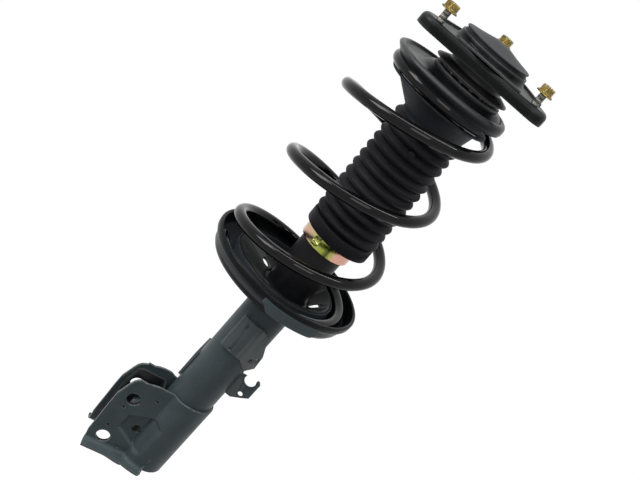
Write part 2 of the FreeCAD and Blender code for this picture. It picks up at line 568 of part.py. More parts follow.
def make_upper_seat():
    """Pressed seat: a rim and floor centred on the spring, a raised hub centred on the rod."""
    rim = TOP_RIM
    dish = turned("top_dish", [
        ("0", "-top_floor_z - seat_sheet"), (f"{rim} - seat_sheet", "-top_floor_z - seat_sheet"),
        (f"{rim} - seat_sheet", "-top_rim_z - top_rim_tall"), (rim, "-top_rim_z - top_rim_tall"),
        (rim, "-top_rim_z"), (f"{rim} - seat_sheet", "-top_rim_z"),
        (f"{rim} - seat_sheet - 1.5", "-top_floor_z"), ("0", "-top_floor_z")])
    place(dish, x="-seat_shift")
    opening = cylinder("top_opening", "hub_foot - 2 * seat_sheet", "seat_sheet + 2",
                       z="-top_floor_z - seat_sheet - 1")
    head = f"{race_top()} - ball_dia - low_race_thick"
    hub = turned("top_hub", [
        ("hub_bore / 2", head), ("hub_dia / 2", head), ("hub_foot / 2", "-top_floor_z"),
        ("hub_foot / 2", "-top_floor_z - seat_sheet"),
        ("hub_foot / 2 - seat_sheet", "-top_floor_z - seat_sheet"),
        ("hub_dia / 2 - seat_sheet", f"{head} - seat_sheet"), ("hub_bore / 2", f"{head} - seat_sheet")])
    keep(fuse("top_seat_solid", [cut("top_floor", dish, opening), hub]), "upper_spring_seat")


def make_upper_insulator():
    """Rubber pad under the seat, with a lip outside the coil and a tapered skirt inside it."""
    rim = TOP_RIM
    under = "-top_floor_z - seat_sheet"
    edge = "-top_rim_z - top_rim_tall"
    foot = "-coil_top + wire_dia / 2 + spring_gap"
    pad = turned("top_pad", [
        ("0", under), (f"{rim} - seat_sheet", under), (f"{rim} - seat_sheet", edge),
        (f"{rim} + lip_stand", edge), (f"{rim} + lip_stand", f"{edge} - lip_tall"),
        (f"{rim} + lip_stand - lip_wide", f"{edge} - lip_tall"), (f"{rim} - seat_sheet - pad_lip", edge),
        (f"{rim} - seat_sheet - pad_lip", foot), ("0", foot)])
    place(pad, x="-seat_shift")
    outer = circle_loft("skirt_outer", [
        (GUIDE_DIA, "-seat_shift", f"{under} - 1"), (GUIDE_DIA, "-seat_shift", "-guide_z"),
        ("collar_dia", "0", "-collar_z"), ("collar_dia", "0", "-collar_z - collar_tall")])
    inner = circle_loft("skirt_inner", [
        (f"{GUIDE_DIA} - 2 * skirt_wall", "-seat_shift", f"{under} + 1"),
        (f"{GUIDE_DIA} - 2 * skirt_wall", "-seat_shift", "-guide_z"),
        ("collar_dia - 2 * skirt_wall", "0", "-collar_z"),
        ("collar_dia - 2 * skirt_wall", "0", "-collar_z - collar_tall - 1")])
    block = fuse("top_insulator_block", [pad, outer])
    keep(cut("top_insulator_solid", block, inner), "upper_spring_insulator")


def make_boot():
    """Ribbed dust boot hanging from the insulator collar, leaning a little where it hangs free."""
    top = size("boot_top")
    grip = size("collar_z") + size("collar_tall")
    length = size("boot_bottom") - grip
    clock = math.radians(size("boot_angle"))

    def ring(height, dia):
        lean = size("boot_lean") * max(height - grip, 0) / length
        centre = FreeCAD.Vector(lean * math.cos(clock), lean * math.sin(clock), -height)
        circle = Part.Circle(centre, FreeCAD.Vector(0, 0, 1), dia / 2)
        return Part.Wire([circle.toShape()])

    valley = size("boot_valley")
    crest = size("boot_crest")
    pitch = size("boot_pitch")
    outer = [ring(top, valley)]
    for rib in range(int(size("boot_ribs"))):
        start = size("boot_first") + rib * pitch
        for share, dia in ((0.10, valley), (0.34, crest), (0.62, crest), (0.86, valley)):
            outer.append(ring(start + share * pitch, dia))
    bottom = size("boot_bottom")
    cuff = bottom - size("cuff_tall")
    outer += [ring(cuff, size("boot_cuff")), ring(bottom, size("boot_cuff"))]
    mouth = size("collar_dia") + 2 * size("collar_room")
    inner = [ring(top, mouth), ring(grip, mouth), ring(cuff, size("boot_bore")),
             ring(cuff + 2, size("cuff_bore")), ring(bottom, size("cuff_bore"))]
    shape = Part.makeLoft(outer, True, True).cut(Part.makeLoft(inner, True, True))
    boot = doc.addObject("Part::Feature", "boot_shape")
    boot.Shape = shape
    keep(boot, "dust_boot")


def ease(turn, start, full):
    """Turns climbed so far by a slope that grows steadily from start to full."""
    if turn <= start:
        return 0.0
    if turn >= full:
        return turn - (start + full) / 2
    return (turn - start) ** 2 / (2 * (full - start))


def spring_point(turn):
    """Centre of the wire after so many turns from the zero mark, and its direction there."""
    rise = size("coil_bottom") - size("coil_top")
    start, full = size("rise_start_turns"), size("rise_full_turns")
    fall, flat = size("fall_start_turns"), size("fall_full_turns")
    narrow, narrowed = size("pigtail_start_turns"), size("pigtail_full_turns")

    def climb(at):
        return ease(at, start, full) - ease(at, fall, flat)

    def where(at):
        share = min(max((at - narrow) / (narrowed - narrow), 0), 1)
        smooth = share * share * (3 - 2 * share)
        radius = size("coil_radius") + smooth * (size("pigtail_radius") - size("coil_radius"))
        middle = -size("coil_shift") + smooth * (size("coil_shift") - size("seat_shift"))
        angle = math.radians(size("coil_angle")) + 2 * math.pi * at
        height = -size("coil_bottom") + rise * climb(at) / climb(flat)
        return FreeCAD.Vector(middle + radius * math.cos(angle), radius * math.sin(angle), height)

    step = 1e-4
    return where(turn), (where(turn + step) - where(turn - step)).normalize()


def biarc(start, start_way, end, end_way):
    """Two arcs that leave one point and reach the next in the given directions."""
    chord = end - start
    total = start_way + end_way
    a = 2 * (1 - start_way.dot(end_way))
    b = 2 * chord.dot(total)
    reach = (-b + math.sqrt(b * b + 4 * a * chord.dot(chord))) / (2 * a)
    joint = (start + end + (start_way - end_way) * reach) * 0.5
    halves = []
    for point, way, other in ((start, start_way, joint), (end, end_way * -1, joint)):
        span = other - point
        cosine = span.dot(way) / span.Length
        sine = math.sqrt(max(1 - cosine * cosine, 0))
        side = (span - way * span.dot(way)).normalize()
        radius = span.Length / (2 * sine)
        centre = point + side * radius
        middle = centre + ((point - centre) + (other - centre)).normalize() * radius
        halves.append((point, middle, other))
    first = Part.Arc(*halves[0]).toShape()
    second = Part.Arc(joint, halves[1][1], end).toShape()
    return [first, second]


def make_spring():
    """Coil spring of round wire: flat end coils, even pitch between, a narrower coil at the top."""
    first = size("start_turns")
    span = size("end_turns") - first
    count = math.ceil(span * 4)
    knots = [spring_point(first + span * index / count) for index in range(count + 1)]
    edges = []
    for (here, way), (there, turn) in zip(knots, knots[1:]):
        edges += biarc(here, way, there, turn)
    path = Part.Wire(edges)
    start, way = knots[0]
    section = Part.Wire([Part.Circle(start, way, size("wire_dia") / 2).toShape()])
    solid = path.makePipeShell([section], True, False)
    if solid.Volume < 0:
        solid.reverse()
    spring = doc.addObject("Part::Feature", "spring_shape")
    spring.Shape = solid
    keep(spring, "coil_spring")
    report_spring(span, path.Length, solid.Volume)


def report_spring(span, length, volume):
    """Print the wire's volume against section times length, and its least gap to itself."""
    section = math.pi * size("wire_dia") ** 2 / 4
    print("spring volume ratio", round(volume / (section * length), 4))
    steps = 60
    total = int(span * steps)
    first = size("start_turns")
    points = [spring_point(first + span * index / total)[0] for index in range(total + 1)]
    least = min((points[i] - points[j]).Length for i in range(total + 1)
                for j in range(i + steps // 2, total + 1))
    print("spring least gap to itself", round(least - size("wire_dia"), 2), "mm")


def make_damper():
    """Outer tube, pressure tube, valves, guide and seal."""
    outer = "tube_dia / 2"
    inside = "tube_dia / 2 - tube_wall"
    lip = "tube_lip / 2"
    seal = "-tube_top - tube_lip_thick"
    keep(turned("tube_body", [
        (inside, "-tube_bottom"), (outer, "-tube_bottom"), (outer, "-tube_top"), (lip, "-tube_top"),
        (lip, seal), (inside, seal)]), "damper_tube")
    bore = "rod_dia / 2 + rod_play"
    keep(turned("seal_body", [
        (bore, f"{seal} - seal_thick"), (inside, f"{seal} - seal_thick"), (inside, seal),
        (f"{lip} - 1", seal), (f"{bore} + 3", f"{seal} + 1.5"), (bore, f"{seal} + 1.5")]), "rod_seal")
    head = "-tube_top - tube_lip_thick - seal_thick"
    foot = f"-({GUIDE_FOOT})"
    keep(turned("guide_body", [
        (bore, foot), ("bore_dia / 2", foot), ("bore_dia / 2", f"{foot} + spigot"),
        (inside, f"{foot} + spigot"), (inside, head), (bore, head)]), "rod_guide")
    floor = "-tube_bottom + cap_thick"
    keep(turned("end_cap_body", [
        ("0", "-tube_bottom"), (inside, "-tube_bottom"), (inside, floor), ("0", floor)]), "tube_end_cap")
    valve = f"{floor} + valve_foot"
    bore_r = "bore_dia / 2"
    wall_r = "bore_dia / 2 + bore_wall"
    keep(turned("bore_body", [
        (bore_r, valve), (wall_r, valve), (wall_r, f"{foot} + spigot"), (bore_r, f"{foot} + spigot")]),
        "pressure_tube")
    block = turned("valve_block", [
        ("0", floor), (wall_r, floor), (wall_r, valve), (bore_r, valve),
        (bore_r, f"{valve} + valve_body"), ("0", f"{valve} + valve_body")])
    slot = box("valve_slot_x", "tube_dia", "valve_slot", "valve_slot",
               "-tube_dia / 2", "-valve_slot / 2", floor)
    cross = box("valve_slot_y", "valve_slot", "tube_dia", "valve_slot",
                "-valve_slot / 2", "-tube_dia / 2", floor)
    well = cylinder("valve_well", "valve_slot", "valve_foot + valve_body + 1", z=floor)
    keep(cut("valve_solid", block, fuse("valve_ways", [slot, cross, well])), "base_valve")


def make_strike_cap():
    """Zinc plated cap on the tube's top, held on it by three pressed dimples."""
    outer = f"{STRIKE_DIA} / 2"
    inner = f"{outer} - strike_wall"
    shell = turned("strike_shell", [
        (inner, "-tube_top - strike_skirt"), (outer, "-tube_top - strike_skirt"),
        (outer, "-tube_top + strike_wall * 0.5"),
        (f"{outer} - strike_wall * 0.5", "-tube_top + strike_wall"),
        ("strike_hole / 2", "-tube_top + strike_wall"), ("strike_hole / 2", "-tube_top"),
        (inner, "-tube_top")])
    dimples = []
    for index in range(3):
        reach = "strike_play + 0.6"
        turn = f"(dimple_angle + {120 * index}) * 1 deg"
        pin = cylinder(f"dimple{index}", "dimple_dia", reach)
        direction = FreeCAD.Rotation(FreeCAD.Vector(0, 0, 1), FreeCAD.Vector(1, 0, 0))
        angle = size("dimple_angle") + 120 * index
        pin.Placement = FreeCAD.Placement(FreeCAD.Vector(), FreeCAD.Rotation(
            FreeCAD.Vector(0, 0, 1), angle).multiply(direction))
        dimples.append(place(pin, f"tube_dia / 2 * cos({turn})", f"tube_dia / 2 * sin({turn})",
                             "-tube_top - dimple_drop"))
    trimmed = cut("dimple_trim", fuse("dimple_group", dimples),
                  cylinder("dimple_core", "tube_dia", "tube_bottom", z="-tube_bottom"))
    keep(fuse("strike_solid", [shell, trimmed]), "strike_cap")


def make_lower_seat():
    """Dished seat welded to the tube: rim, coil channel, inner ridge and bowl, with a front apron."""
    rim = f"({LOW_WALL} + hem_wide)"
    floor = "-coil_bottom - wire_dia / 2 - spring_gap - low_pad"
    base = f"{floor} - sheet"
    ridge = LOW_RIDGE
    wall = LOW_WALL
    dish = turned("low_dish", [
        (f"{wall} + 1", "-low_rim_z - hem_tall"), (rim, "-low_rim_z - hem_tall"), (rim, "-low_rim_z - 2"),
        (f"{rim} - 1.5", "-low_rim_z"), (wall, "-low_rim_z"), (f"{wall} - 0.5", floor), (ridge, floor),
        (f"{ridge} - 0.8", "-ridge_z"), (f"{ridge} - ridge_wide", "-ridge_z"),
        (f"{ridge} - ridge_wide - 2", base), (f"{wall} - 1.5", base), (f"{wall} + 1", f"{floor} + 1")])
    place(dish, x="-low_shift")
    mouth = f"2 * {ridge} - 2 * ridge_wide + 1"
    top = [(mouth, "-low_shift", "-ridge_z"), ("bowl_dia", "0", "-bowl_z")]
    lid = circle_loft("bowl_top", top)
    under = circle_loft("bowl_under", [(dia, x, f"{z} - sheet") for dia, x, z in top])
    side = cylinder("bowl_side", mouth, "sheet", x="-low_shift", z="-ridge_z - sheet")
    plug = cylinder("bowl_plug", "bowl_dia", "sheet", z="-bowl_z - sheet")
    bowl = cut("bowl_shell", fuse("bowl_block", [under, side, plug]), lid)
    collar = cylinder("weld_collar", "tube_dia + 2 * weld_wall", "weld_tall", z="-bowl_z - weld_tall")
    apron = cut("apron_sheet",
                cylinder("apron_outer", f"2 * {rim}", "apron_bottom - apron_top", x="-low_shift",
                         z="-apron_bottom", sector="apron_span_angle", turn="apron_angle"),
                cylinder("apron_inner", f"2 * {rim} - 2 * sheet", "apron_bottom", x="-low_shift",
                         z="-apron_bottom - 1"))
    drains = [cylinder(f"drain{index}", "drain_dia", "40", f"drain_circle / 2 * cos({turn} deg)",
                       f"drain_circle / 2 * sin({turn} deg)", "-bowl_z - 15")
              for index, turn in enumerate(DRAIN_ANGLES)]
    tube_hole = cylinder("low_tube_hole", "tube_dia", "tube_bottom - tube_top", z="-tube_bottom")
    solid = cut("low_seat_solid", fuse("low_seat_block", [dish, bowl, collar, apron]),
                fuse("low_seat_holes", [tube_hole] + drains))
    keep(solid, "lower_spring_seat")


def make_lower_insulator():
    floor = "-coil_bottom - wire_dia / 2 - spring_gap - low_pad"
    ridge = LOW_RIDGE
    wall = LOW_WALL
    lip = f"{ridge} + low_pad_lip"
    pad = turned("low_pad_body", [
        (ridge, floor), (f"{wall} - low_pad_play", floor), (f"{wall} - low_pad_play", f"{floor} + low_pad"),
        (lip, f"{floor} + low_pad"), (lip, "-ridge_z - low_pad_lip"), (ridge, "-ridge_z - low_pad_lip")])
    keep(place(pad, x="-low_shift"), "lower_spring_insulator")


def ear_outline(inset):
    """Side view of the ears as (x, z) corners, drawn in by an inset."""
    corner = f"-({EAR_TOP} + ear_corner_drop)"
    return [
        ("0", f"-({EAR_TOP}) - {inset}"), (f"-ear_corner_x + {inset} / 2", f"{corner} - {inset}"),
        (f"-ear_corner_x - 8 + {inset}", f"{corner} - 6 - {inset} / 2"),
        (f"-ear_reach + {inset}", f"-({EAR_TOP} + ear_side_drop)"),
        (f"-ear_reach + {inset}", f"-({EAR_FOOT} - ear_heel)"),
        (f"-ear_foot_x - 4 + {inset}", f"-({EAR_FOOT}) + 4 + {inset}"),
        (f"-ear_foot_x + {inset}", f"-({EAR_FOOT}) + {inset}"), ("0", f"-({EAR_FOOT}) + 4 + {inset}")]


def make_bracket():
    """Knuckle bracket: a sleeve round the tube that closes in to two flat ears with turned-out feet."""
    outside = "ear_gap + 2 * sheet"
    tall = "ear_past - sleeve_past + sleeve_tall + 2"
    outer = fuse("ear_outer", [
        cylinder("sleeve_outer", "tube_dia + 2 * sheet", tall, z=f"-({EAR_FOOT}) - 1"),
        box("legs_outer", "ear_reach", outside, tall, "-ear_reach", f"-({outside}) / 2",
            f"-({EAR_FOOT}) - 1")])
    side = padded("ear_side", "XZ_Plane", ear_outline("0"), outside, midplane=True)
    band = cylinder("sleeve_band", "tube_dia + 2 * sheet", "sleeve_tall", z=f"-({SLEEVE_FOOT})")
    shape = fuse("ear_blank", [common("ear_trim", [outer, side]), band])
    feet = []
    for index, sign in enumerate((1, -1)):
        foot = padded(f"foot{index}", "YZ_Plane", [
            (f"{sign} * ({offset} + ear_gap / 2)", f"{rise} - ({EAR_FOOT} + foot_below)")
            for offset, rise in FOOT_SECTION], "flange_from - flange_to", lift="-flange_from")
        feet.append(foot)
        curve = new_body(f"foot_curve{index}")
        sketch = polygon(curve, f"foot_curve_section{index}", "XZ_Plane", [
            (f"{offset} + tube_dia / 2", f"{rise} - ({EAR_FOOT} - foot_curve_up)")
            for offset, rise in FOOT_SECTION])
        doc.recompute()
        spin = curve.newObject("PartDesign::Revolution", f"foot_curve_turned{index}")
        spin.Profile = sketch
        spin.ReferenceAxis = (sketch, ["V_Axis"])
        bind(spin, Angle="foot_span_angle")
        feet.append(place(curve, turn="-foot_angle" if sign > 0 else "foot_angle - foot_span_angle"))
    gap = "ear_gap"
    hollow = fuse("ear_hollow", [
        cylinder("sleeve_inner", "tube_dia", f"{tall} + 2", z=f"-({EAR_FOOT}) - 2"),
        box("legs_inner", "ear_reach + 2", gap, f"{tall} + 2", "-ear_reach - 2", f"-({gap}) / 2",
            f"-({EAR_FOOT}) - 2")])
    shell = cut("bracket_shell", fuse("bracket_blank", [shape] + feet), hollow)
    pads = []
    pits = []
    for index, sign in enumerate((1, -1)):
        if sign > 0:
            pad_lift, pit_lift = "ear_gap / 2 - press_deep", "ear_gap / 2 + sheet - press_deep"
        else:
            pad_lift, pit_lift = "-(ear_gap / 2 + 0.5)", "-(ear_gap / 2 + sheet + 0.5)"
        deep = "press_deep + 0.5"
        pads.append(padded(f"press_pad{index}", "XZ_Plane", press_outline("0"), deep, lift=pad_lift))
        pits.append(padded(f"press_pit{index}", "XZ_Plane", press_outline("press_wall"), deep,
                           lift=pit_lift))
    holes = []
    for index, (x, z, dia) in enumerate((
            (BOLT_X, BOLT_TOP, "bolt_hole"), (BOLT_X, BOLT_LOW, "bolt_hole"),
            ("pin_x", PIN_Z, "pin_hole"),
            (f"{BOLT_X} - gauge_top_in", f"{BOLT_TOP} - gauge_top_up", "small_hole"),
            (f"{BOLT_X} + gauge_top_out", f"{BOLT_TOP} + gauge_top_down", "small_hole"),
            (f"{BOLT_X} + gauge_low_out", f"{BOLT_LOW} - gauge_low_up", "small_hole"),
            (f"{BOLT_X} - gauge_low_in", f"{BOLT_LOW} + gauge_low_down", "small_hole"))):
        holes.append(cylinder(f"ear_hole{index}", dia, f"({outside}) + 8", f"-({x})",
                              f"-({outside}) / 2 - 4", f"-({z})", turn="-90", axis=(1, 0, 0)))
    core = cylinder("bracket_core", "tube_dia", f"{tall} + 2", z=f"-({EAR_FOOT}) - 2")
    pressed = cut("bracket_pitted", fuse("bracket_padded", [shell] + pads),
                  fuse("pit_group", pits + [core]))
    keep(cut("bracket_solid", pressed, fuse("hole_group", holes)), "knuckle_bracket")
    make_brace(holes[:2])


def press_outline(inset):
    """Corners (x, z) of the recess pressed into each ear round the middle hole."""
    left = f"-pin_x - press_out + {inset}"
    right = f"-pin_x + press_in - {inset} / 2"
    return [
        (left, f"-({PIN_Z}) + press_side_up - {inset}"), (left, f"-({PIN_Z}) - press_side_down + {inset}"),
        (right, f"-({PIN_Z}) - press_foot + {inset}"), (right, f"-({PIN_Z}) + press_head - {inset}")]


def make_brace(holes):
    """Channel-shaped stiffener lying inside the two ears, open round their pressed recesses."""
    side = padded("brace_side", "XZ_Plane", ear_outline("brace_edge"), "ear_gap", midplane=True)
    tall = "ear_past - sleeve_past + sleeve_tall"
    block = box("brace_block", "ear_reach - brace_web_x", "ear_gap", tall, "-ear_reach", "-ear_gap / 2",
                f"-({EAR_FOOT})")
    inside = box("brace_inside", "ear_reach - brace_web_x - brace_sheet + 2", "ear_gap - 2 * brace_sheet",
                 f"{tall} + 2", "-ear_reach - 2", "-ear_gap / 2 + brace_sheet", f"-({EAR_FOOT}) - 1")
    window = box("brace_window", "window_wide", "ear_gap + 2", "window_tall", "-pin_x - window_out",
                 "-ear_gap / 2 - 1", f"-({PIN_Z}) - window_down")
    channel = cut("brace_channel", common("brace_trim", [block, side]),
                  fuse("brace_voids", [inside, window] + holes))
    keep(channel, "bracket_brace")


def make_hose_bracket():
    """Brake hose bracket: a curved face standing off the tube, with a side wing."""
    face = cut("hose_face",
               cylinder("hose_outer", "hose_dia", "hose_bottom - hose_top", z="-hose_bottom",
                        sector="hose_span_angle", turn="hose_angle"),
               cylinder("hose_inner", "hose_dia - 2 * hose_sheet", "hose_bottom - hose_top + 2",
                        z="-hose_bottom - 1"))
    leg = box("hose_leg", "(hose_dia - tube_dia) / 2 + 1", "hose_sheet", "hose_bottom - hose_top",
              "(tube_dia / 2 - 1) * cos(hose_angle * 1 deg)",
              "(tube_dia / 2 - 1) * sin(hose_angle * 1 deg)", "-hose_bottom", turn="hose_angle")
    wing = padded("hose_wing", "XZ_Plane", [
        ("-1", "-hose_bottom"), ("-1", "-hose_top"), ("wing_shoulder", "-hose_top - wing_shoulder_drop"),
        ("wing_slope", "-hose_top - wing_slope_drop"), ("wing_tip", "-hose_top - wing_tip_drop"),
        ("wing_long", "-hose_bottom - wing_heel"), ("wing_toe", "-hose_bottom - wing_drop"),
        ("0", "-hose_bottom")], "hose_sheet", reverse=True)
    edge = "(hose_angle + hose_span_angle) * 1 deg"
    place(wing, f"hose_dia / 2 * cos({edge})", f"hose_dia / 2 * sin({edge})", turn="wing_angle")
    eye = cylinder("hose_eye", "hose_hole", "8", "wing_long - hose_hole_in", "4",
                   "-hose_bottom + hose_hole_up", turn="90", axis=(1, 0, 0))
    bead = cylinder("hose_bead", "bead_hole", "8", "wing_long - bead_in", "4",
                    "-hose_bottom + bead_up", turn="90", axis=(1, 0, 0))
    holes = fuse("wing_holes", [eye, bead])
    place(holes, f"hose_dia / 2 * cos({edge})", f"hose_dia / 2 * sin({edge})", turn="wing_angle")
    core = cylinder("hose_core", "tube_dia", "hose_bottom - hose_top + 60", z="-hose_bottom - 30")
    solid = cut("hose_solid", fuse("hose_block", [face, leg, wing]), fuse("hose_voids", [holes, core]))
    keep(solid, "hose_bracket")


def make_clip_bracket():
    """Small hooked plate for the sensor lead, standing out from the tube."""
    x_notch, z_notch = "clip_notch_x", "clip_notch_z"
    plate = padded("clip_plate", "XZ_Plane", [
        ("tube_dia / 2 - tab_lap", "-clip_top - clip_root_drop"),
        ("tube_dia / 2 + clip_neck", "-clip_top - clip_neck_drop"),
        ("clip_reach - clip_nose", "-clip_top"), ("clip_reach", "-clip_top - clip_nose"),
        ("clip_reach", "-clip_top - clip_side"), ("clip_reach - clip_knee", "-clip_top - clip_knee_drop"),
        ("tube_dia / 2 + clip_foot", "-clip_bottom"), ("tube_dia / 2 - tab_lap", "-clip_bottom")],
        "clip_sheet", midplane=True)
    notch = fuse("clip_notch_tool", [
        cylinder("clip_round", "clip_notch", "8", x_notch, "4", f"-({z_notch})", turn="90", axis=(1, 0, 0)),
        box("clip_mouth", "clip_notch - 2 * clip_lip", "8", "20",
            f"{x_notch} - clip_notch / 2 + clip_lip", "-4", f"-({z_notch})")])
    eye = cylinder("clip_eye", "clip_hole", "8", "clip_hole_x", "4", "-clip_hole_z",
                   turn="90", axis=(1, 0, 0))
    core = cylinder("clip_core", "tube_dia", "tube_bottom", z="-tube_bottom")
    solid = cut("clip_solid", plate, fuse("clip_voids", [notch, eye, core]))
    keep(place(solid, turn="clip_angle"), "clip_bracket")


def make_link_bracket():
    """Stabilizer link bracket on the tube's far side: a flat plate with one hole."""
    plate = box("link_plate", "link_sheet", "link_reach + link_lap", "link_bottom - link_top",
                "-tube_dia / 2 - link_sheet", "-link_lap", "-link_bottom")
    foot = box("link_foot", "tube_dia / 2", "link_sheet", "link_bottom - link_top",
               "-tube_dia / 2 - link_sheet / 2", "tube_dia / 2 - link_foot_in", "-link_bottom")
    eye = cylinder("link_eye", "link_hole", "link_sheet + 2", "-tube_dia / 2 - link_sheet - 1",
                   "link_reach - link_hole_in", "-(link_top + link_bottom) / 2", turn="90", axis=(0, 1, 0))
    core = cylinder("link_core", "tube_dia", "tube_bottom", z="-tube_bottom")
    solid = cut("link_solid", fuse("link_block", [plate, foot]), fuse("link_voids", [eye, core]))
    keep(place(solid, turn="clip_angle"), "link_bracket")


def check_and_write():
    """Stop on any failed object, then write each sub-part to its own file."""
    doc.recompute()
    for obj in doc.Objects:
        if "Invalid" in obj.State or "Error" in obj.State:
            raise RuntimeError("failed object: " + obj.Name)
    for obj in parts:
        if obj.Shape.isNull() or not obj.Shape.isValid():
            raise RuntimeError("bad shape: " + obj.Label)
    os.makedirs("parts", exist_ok=True)
    for obj in parts:
        obj.Shape.exportStep(f"parts/{obj.Label}.step")
        print(obj.Label, len(obj.Shape.Solids), round(obj.Shape.Volume, 1))


make_sheet()
make_mount_plate()
make_tower_studs()
make_stud_nuts()
make_dust_cap()
make_rubber_mount()
make_bearing()
make_rod()
make_bump_stop()
make_upper_seat()
make_upper_insulator()
make_boot()
make_spring()
make_damper()
make_strike_cap()
make_lower_seat()
make_lower_insulator()
make_bracket()
make_hose_bracket()
make_clip_bracket()
make_link_bracket()
check_and_write()
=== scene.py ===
import json
import math

import bpy
from mathutils import Matrix, Vector


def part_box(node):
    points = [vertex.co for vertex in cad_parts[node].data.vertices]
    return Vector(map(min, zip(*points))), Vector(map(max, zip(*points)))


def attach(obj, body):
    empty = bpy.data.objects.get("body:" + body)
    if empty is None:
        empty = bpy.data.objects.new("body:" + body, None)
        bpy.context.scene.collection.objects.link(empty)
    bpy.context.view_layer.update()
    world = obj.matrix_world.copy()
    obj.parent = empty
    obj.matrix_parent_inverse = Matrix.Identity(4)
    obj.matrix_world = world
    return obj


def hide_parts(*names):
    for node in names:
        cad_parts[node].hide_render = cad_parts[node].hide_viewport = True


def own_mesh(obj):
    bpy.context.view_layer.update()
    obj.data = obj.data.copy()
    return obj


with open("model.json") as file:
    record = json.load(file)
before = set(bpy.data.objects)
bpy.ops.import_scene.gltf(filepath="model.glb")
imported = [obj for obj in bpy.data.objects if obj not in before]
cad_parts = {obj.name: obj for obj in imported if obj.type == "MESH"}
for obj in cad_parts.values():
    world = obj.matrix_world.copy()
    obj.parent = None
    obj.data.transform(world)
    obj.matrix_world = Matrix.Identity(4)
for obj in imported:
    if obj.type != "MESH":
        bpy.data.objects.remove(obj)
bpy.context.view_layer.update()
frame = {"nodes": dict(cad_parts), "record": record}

MM = 0.001
NODES = frame["nodes"]
BODY_OF = {node: body for body, nodes in frame["record"]["behaviour"]["bodies"].items() for node in nodes}

# Driving sizes in millimetres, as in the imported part
STUD_REACH = 68.0
STUD_ANGLES = (71.0, 191.0, 311.0)
STUD_NECK = 4.0
PLATE_LOBE = 17.5
PLATE_SHEET = 3.0
PLATE_RIM = -13.0
DOME_RADIUS = 40.0
DOME_BORE = DOME_RADIUS - PLATE_SHEET
DOME_TOP = 8.0
DOME_HOLE = 30.0
TOP_SHIFT = -12.5
LOW_SHIFT = -13.0
TUBE_RADIUS = 25.5
WIRE_RADIUS = 6.4
SPRING_ANGLE = math.radians(-19.0)

# Points of a mesh nearer than this, in metres, become one
MERGE = 1e-6


def span(node):
    """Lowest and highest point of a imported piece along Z, in millimetres."""
    low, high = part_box(node)
    return low.z / MM, high.z / MM


def around(radius, degrees):
    """X and Y of a point on a circle round the rod's axis."""
    turn = math.radians(degrees)
    return radius * math.cos(turn), radius * math.sin(turn)


def smooth(share):
    """Ease from 0 to 1."""
    share = min(max(share, 0.0), 1.0)
    return share * share * (3 - 2 * share)


def follow(pairs, at):
    """Read a line of (position, value) pairs at a position."""
    if at <= pairs[0][0]:
        return pairs[0][1]
    for (start, low), (end, high) in zip(pairs, pairs[1:]):
        if at <= end:
            return low + (high - low) * (at - start) / (end - start)
    return pairs[-1][1]


# Working on a piece, as by hand

def hold(piece):
    """Select one piece alone and make it the active one."""
    for other in bpy.context.selected_objects:
        other.select_set(False)
    bpy.context.view_layer.objects.active = piece
    piece.select_set(True)


def added(name):
    """Name the primitive that was added last."""
    piece = bpy.context.active_object
    piece.name = name
    piece.data.name = name
    return piece


def modify(piece, kind, **settings):
    """Add a modifier to a piece and apply it."""
    modifier = piece.modifiers.new(kind.lower(), kind)
    for name, value in settings.items():
        setattr(modifier, name, value)
    hold(piece)
    bpy.ops.object.modifier_apply(modifier=modifier.name)
    return piece


def break_edges(piece, width, segments=2, angle=32.0):
    """Round the sharp edges of a piece a little."""
    return modify(piece, "BEVEL", width=width * MM, segments=segments, limit_method="ANGLE",
                  angle_limit=math.radians(angle), use_clamp_overlap=True)


def shade(piece, angle=38.0):
    """Shade a piece smoothly, apart from edges sharper than an angle."""
    hold(piece)
    bpy.ops.object.shade_smooth_by_angle(angle=math.radians(angle))
    return piece


def faces_out(piece):
    """Point the faces of a closed piece outwards."""
    hold(piece)
    bpy.ops.object.mode_set(mode="EDIT")
    bpy.ops.mesh.select_all(action="SELECT")
    bpy.ops.mesh.normals_make_consistent(inside=False)
    bpy.ops.object.mode_set(mode="OBJECT")
    return piece


def cut_away(piece, cutter, solver="EXACT"):
    """Take one shape out of a piece, and throw the cutter away."""
    modify(piece, "BOOLEAN", operation="DIFFERENCE", object=cutter, solver=solver)
    bpy.data.objects.remove(cutter)


def joined(name, pieces):
    """Join several meshes into one piece."""
    hold(pieces[0])
    for piece in pieces[1:]:
        piece.select_set(True)
    bpy.ops.object.join()
    return added(name)


def turned(name, section, steps=128):
    """Spin a closed half section of (radius, height) corners about the rod's axis."""
    bpy.ops.object.select_all(action="DESELECT")
    bpy.ops.mesh.primitive_circle_add(vertices=len(section), radius=MM)
    piece = added(name)
    for vertex, (radius, height) in zip(piece.data.vertices, section):
        vertex.co = (radius * MM, 0, height * MM)
    bpy.ops.object.mode_set(mode="EDIT")
    bpy.ops.mesh.select_all(action="SELECT")
    bpy.ops.mesh.spin(steps=steps, angle=2 * math.pi, center=(0, 0, 0), axis=(0, 0, 1))
    bpy.ops.mesh.select_all(action="SELECT")
    bpy.ops.mesh.remove_doubles(threshold=MERGE)
    bpy.ops.mesh.delete_loose(use_verts=True, use_edges=True, use_faces=False)
    bpy.ops.object.mode_set(mode="OBJECT")
    return faces_out(piece)


def moved(piece, change):
    """Move each point of a piece by a rule on its place in millimetres."""
    for vertex in piece.data.vertices:
        vertex.co = Vector(change(*(vertex.co / MM))) * MM
    return piece


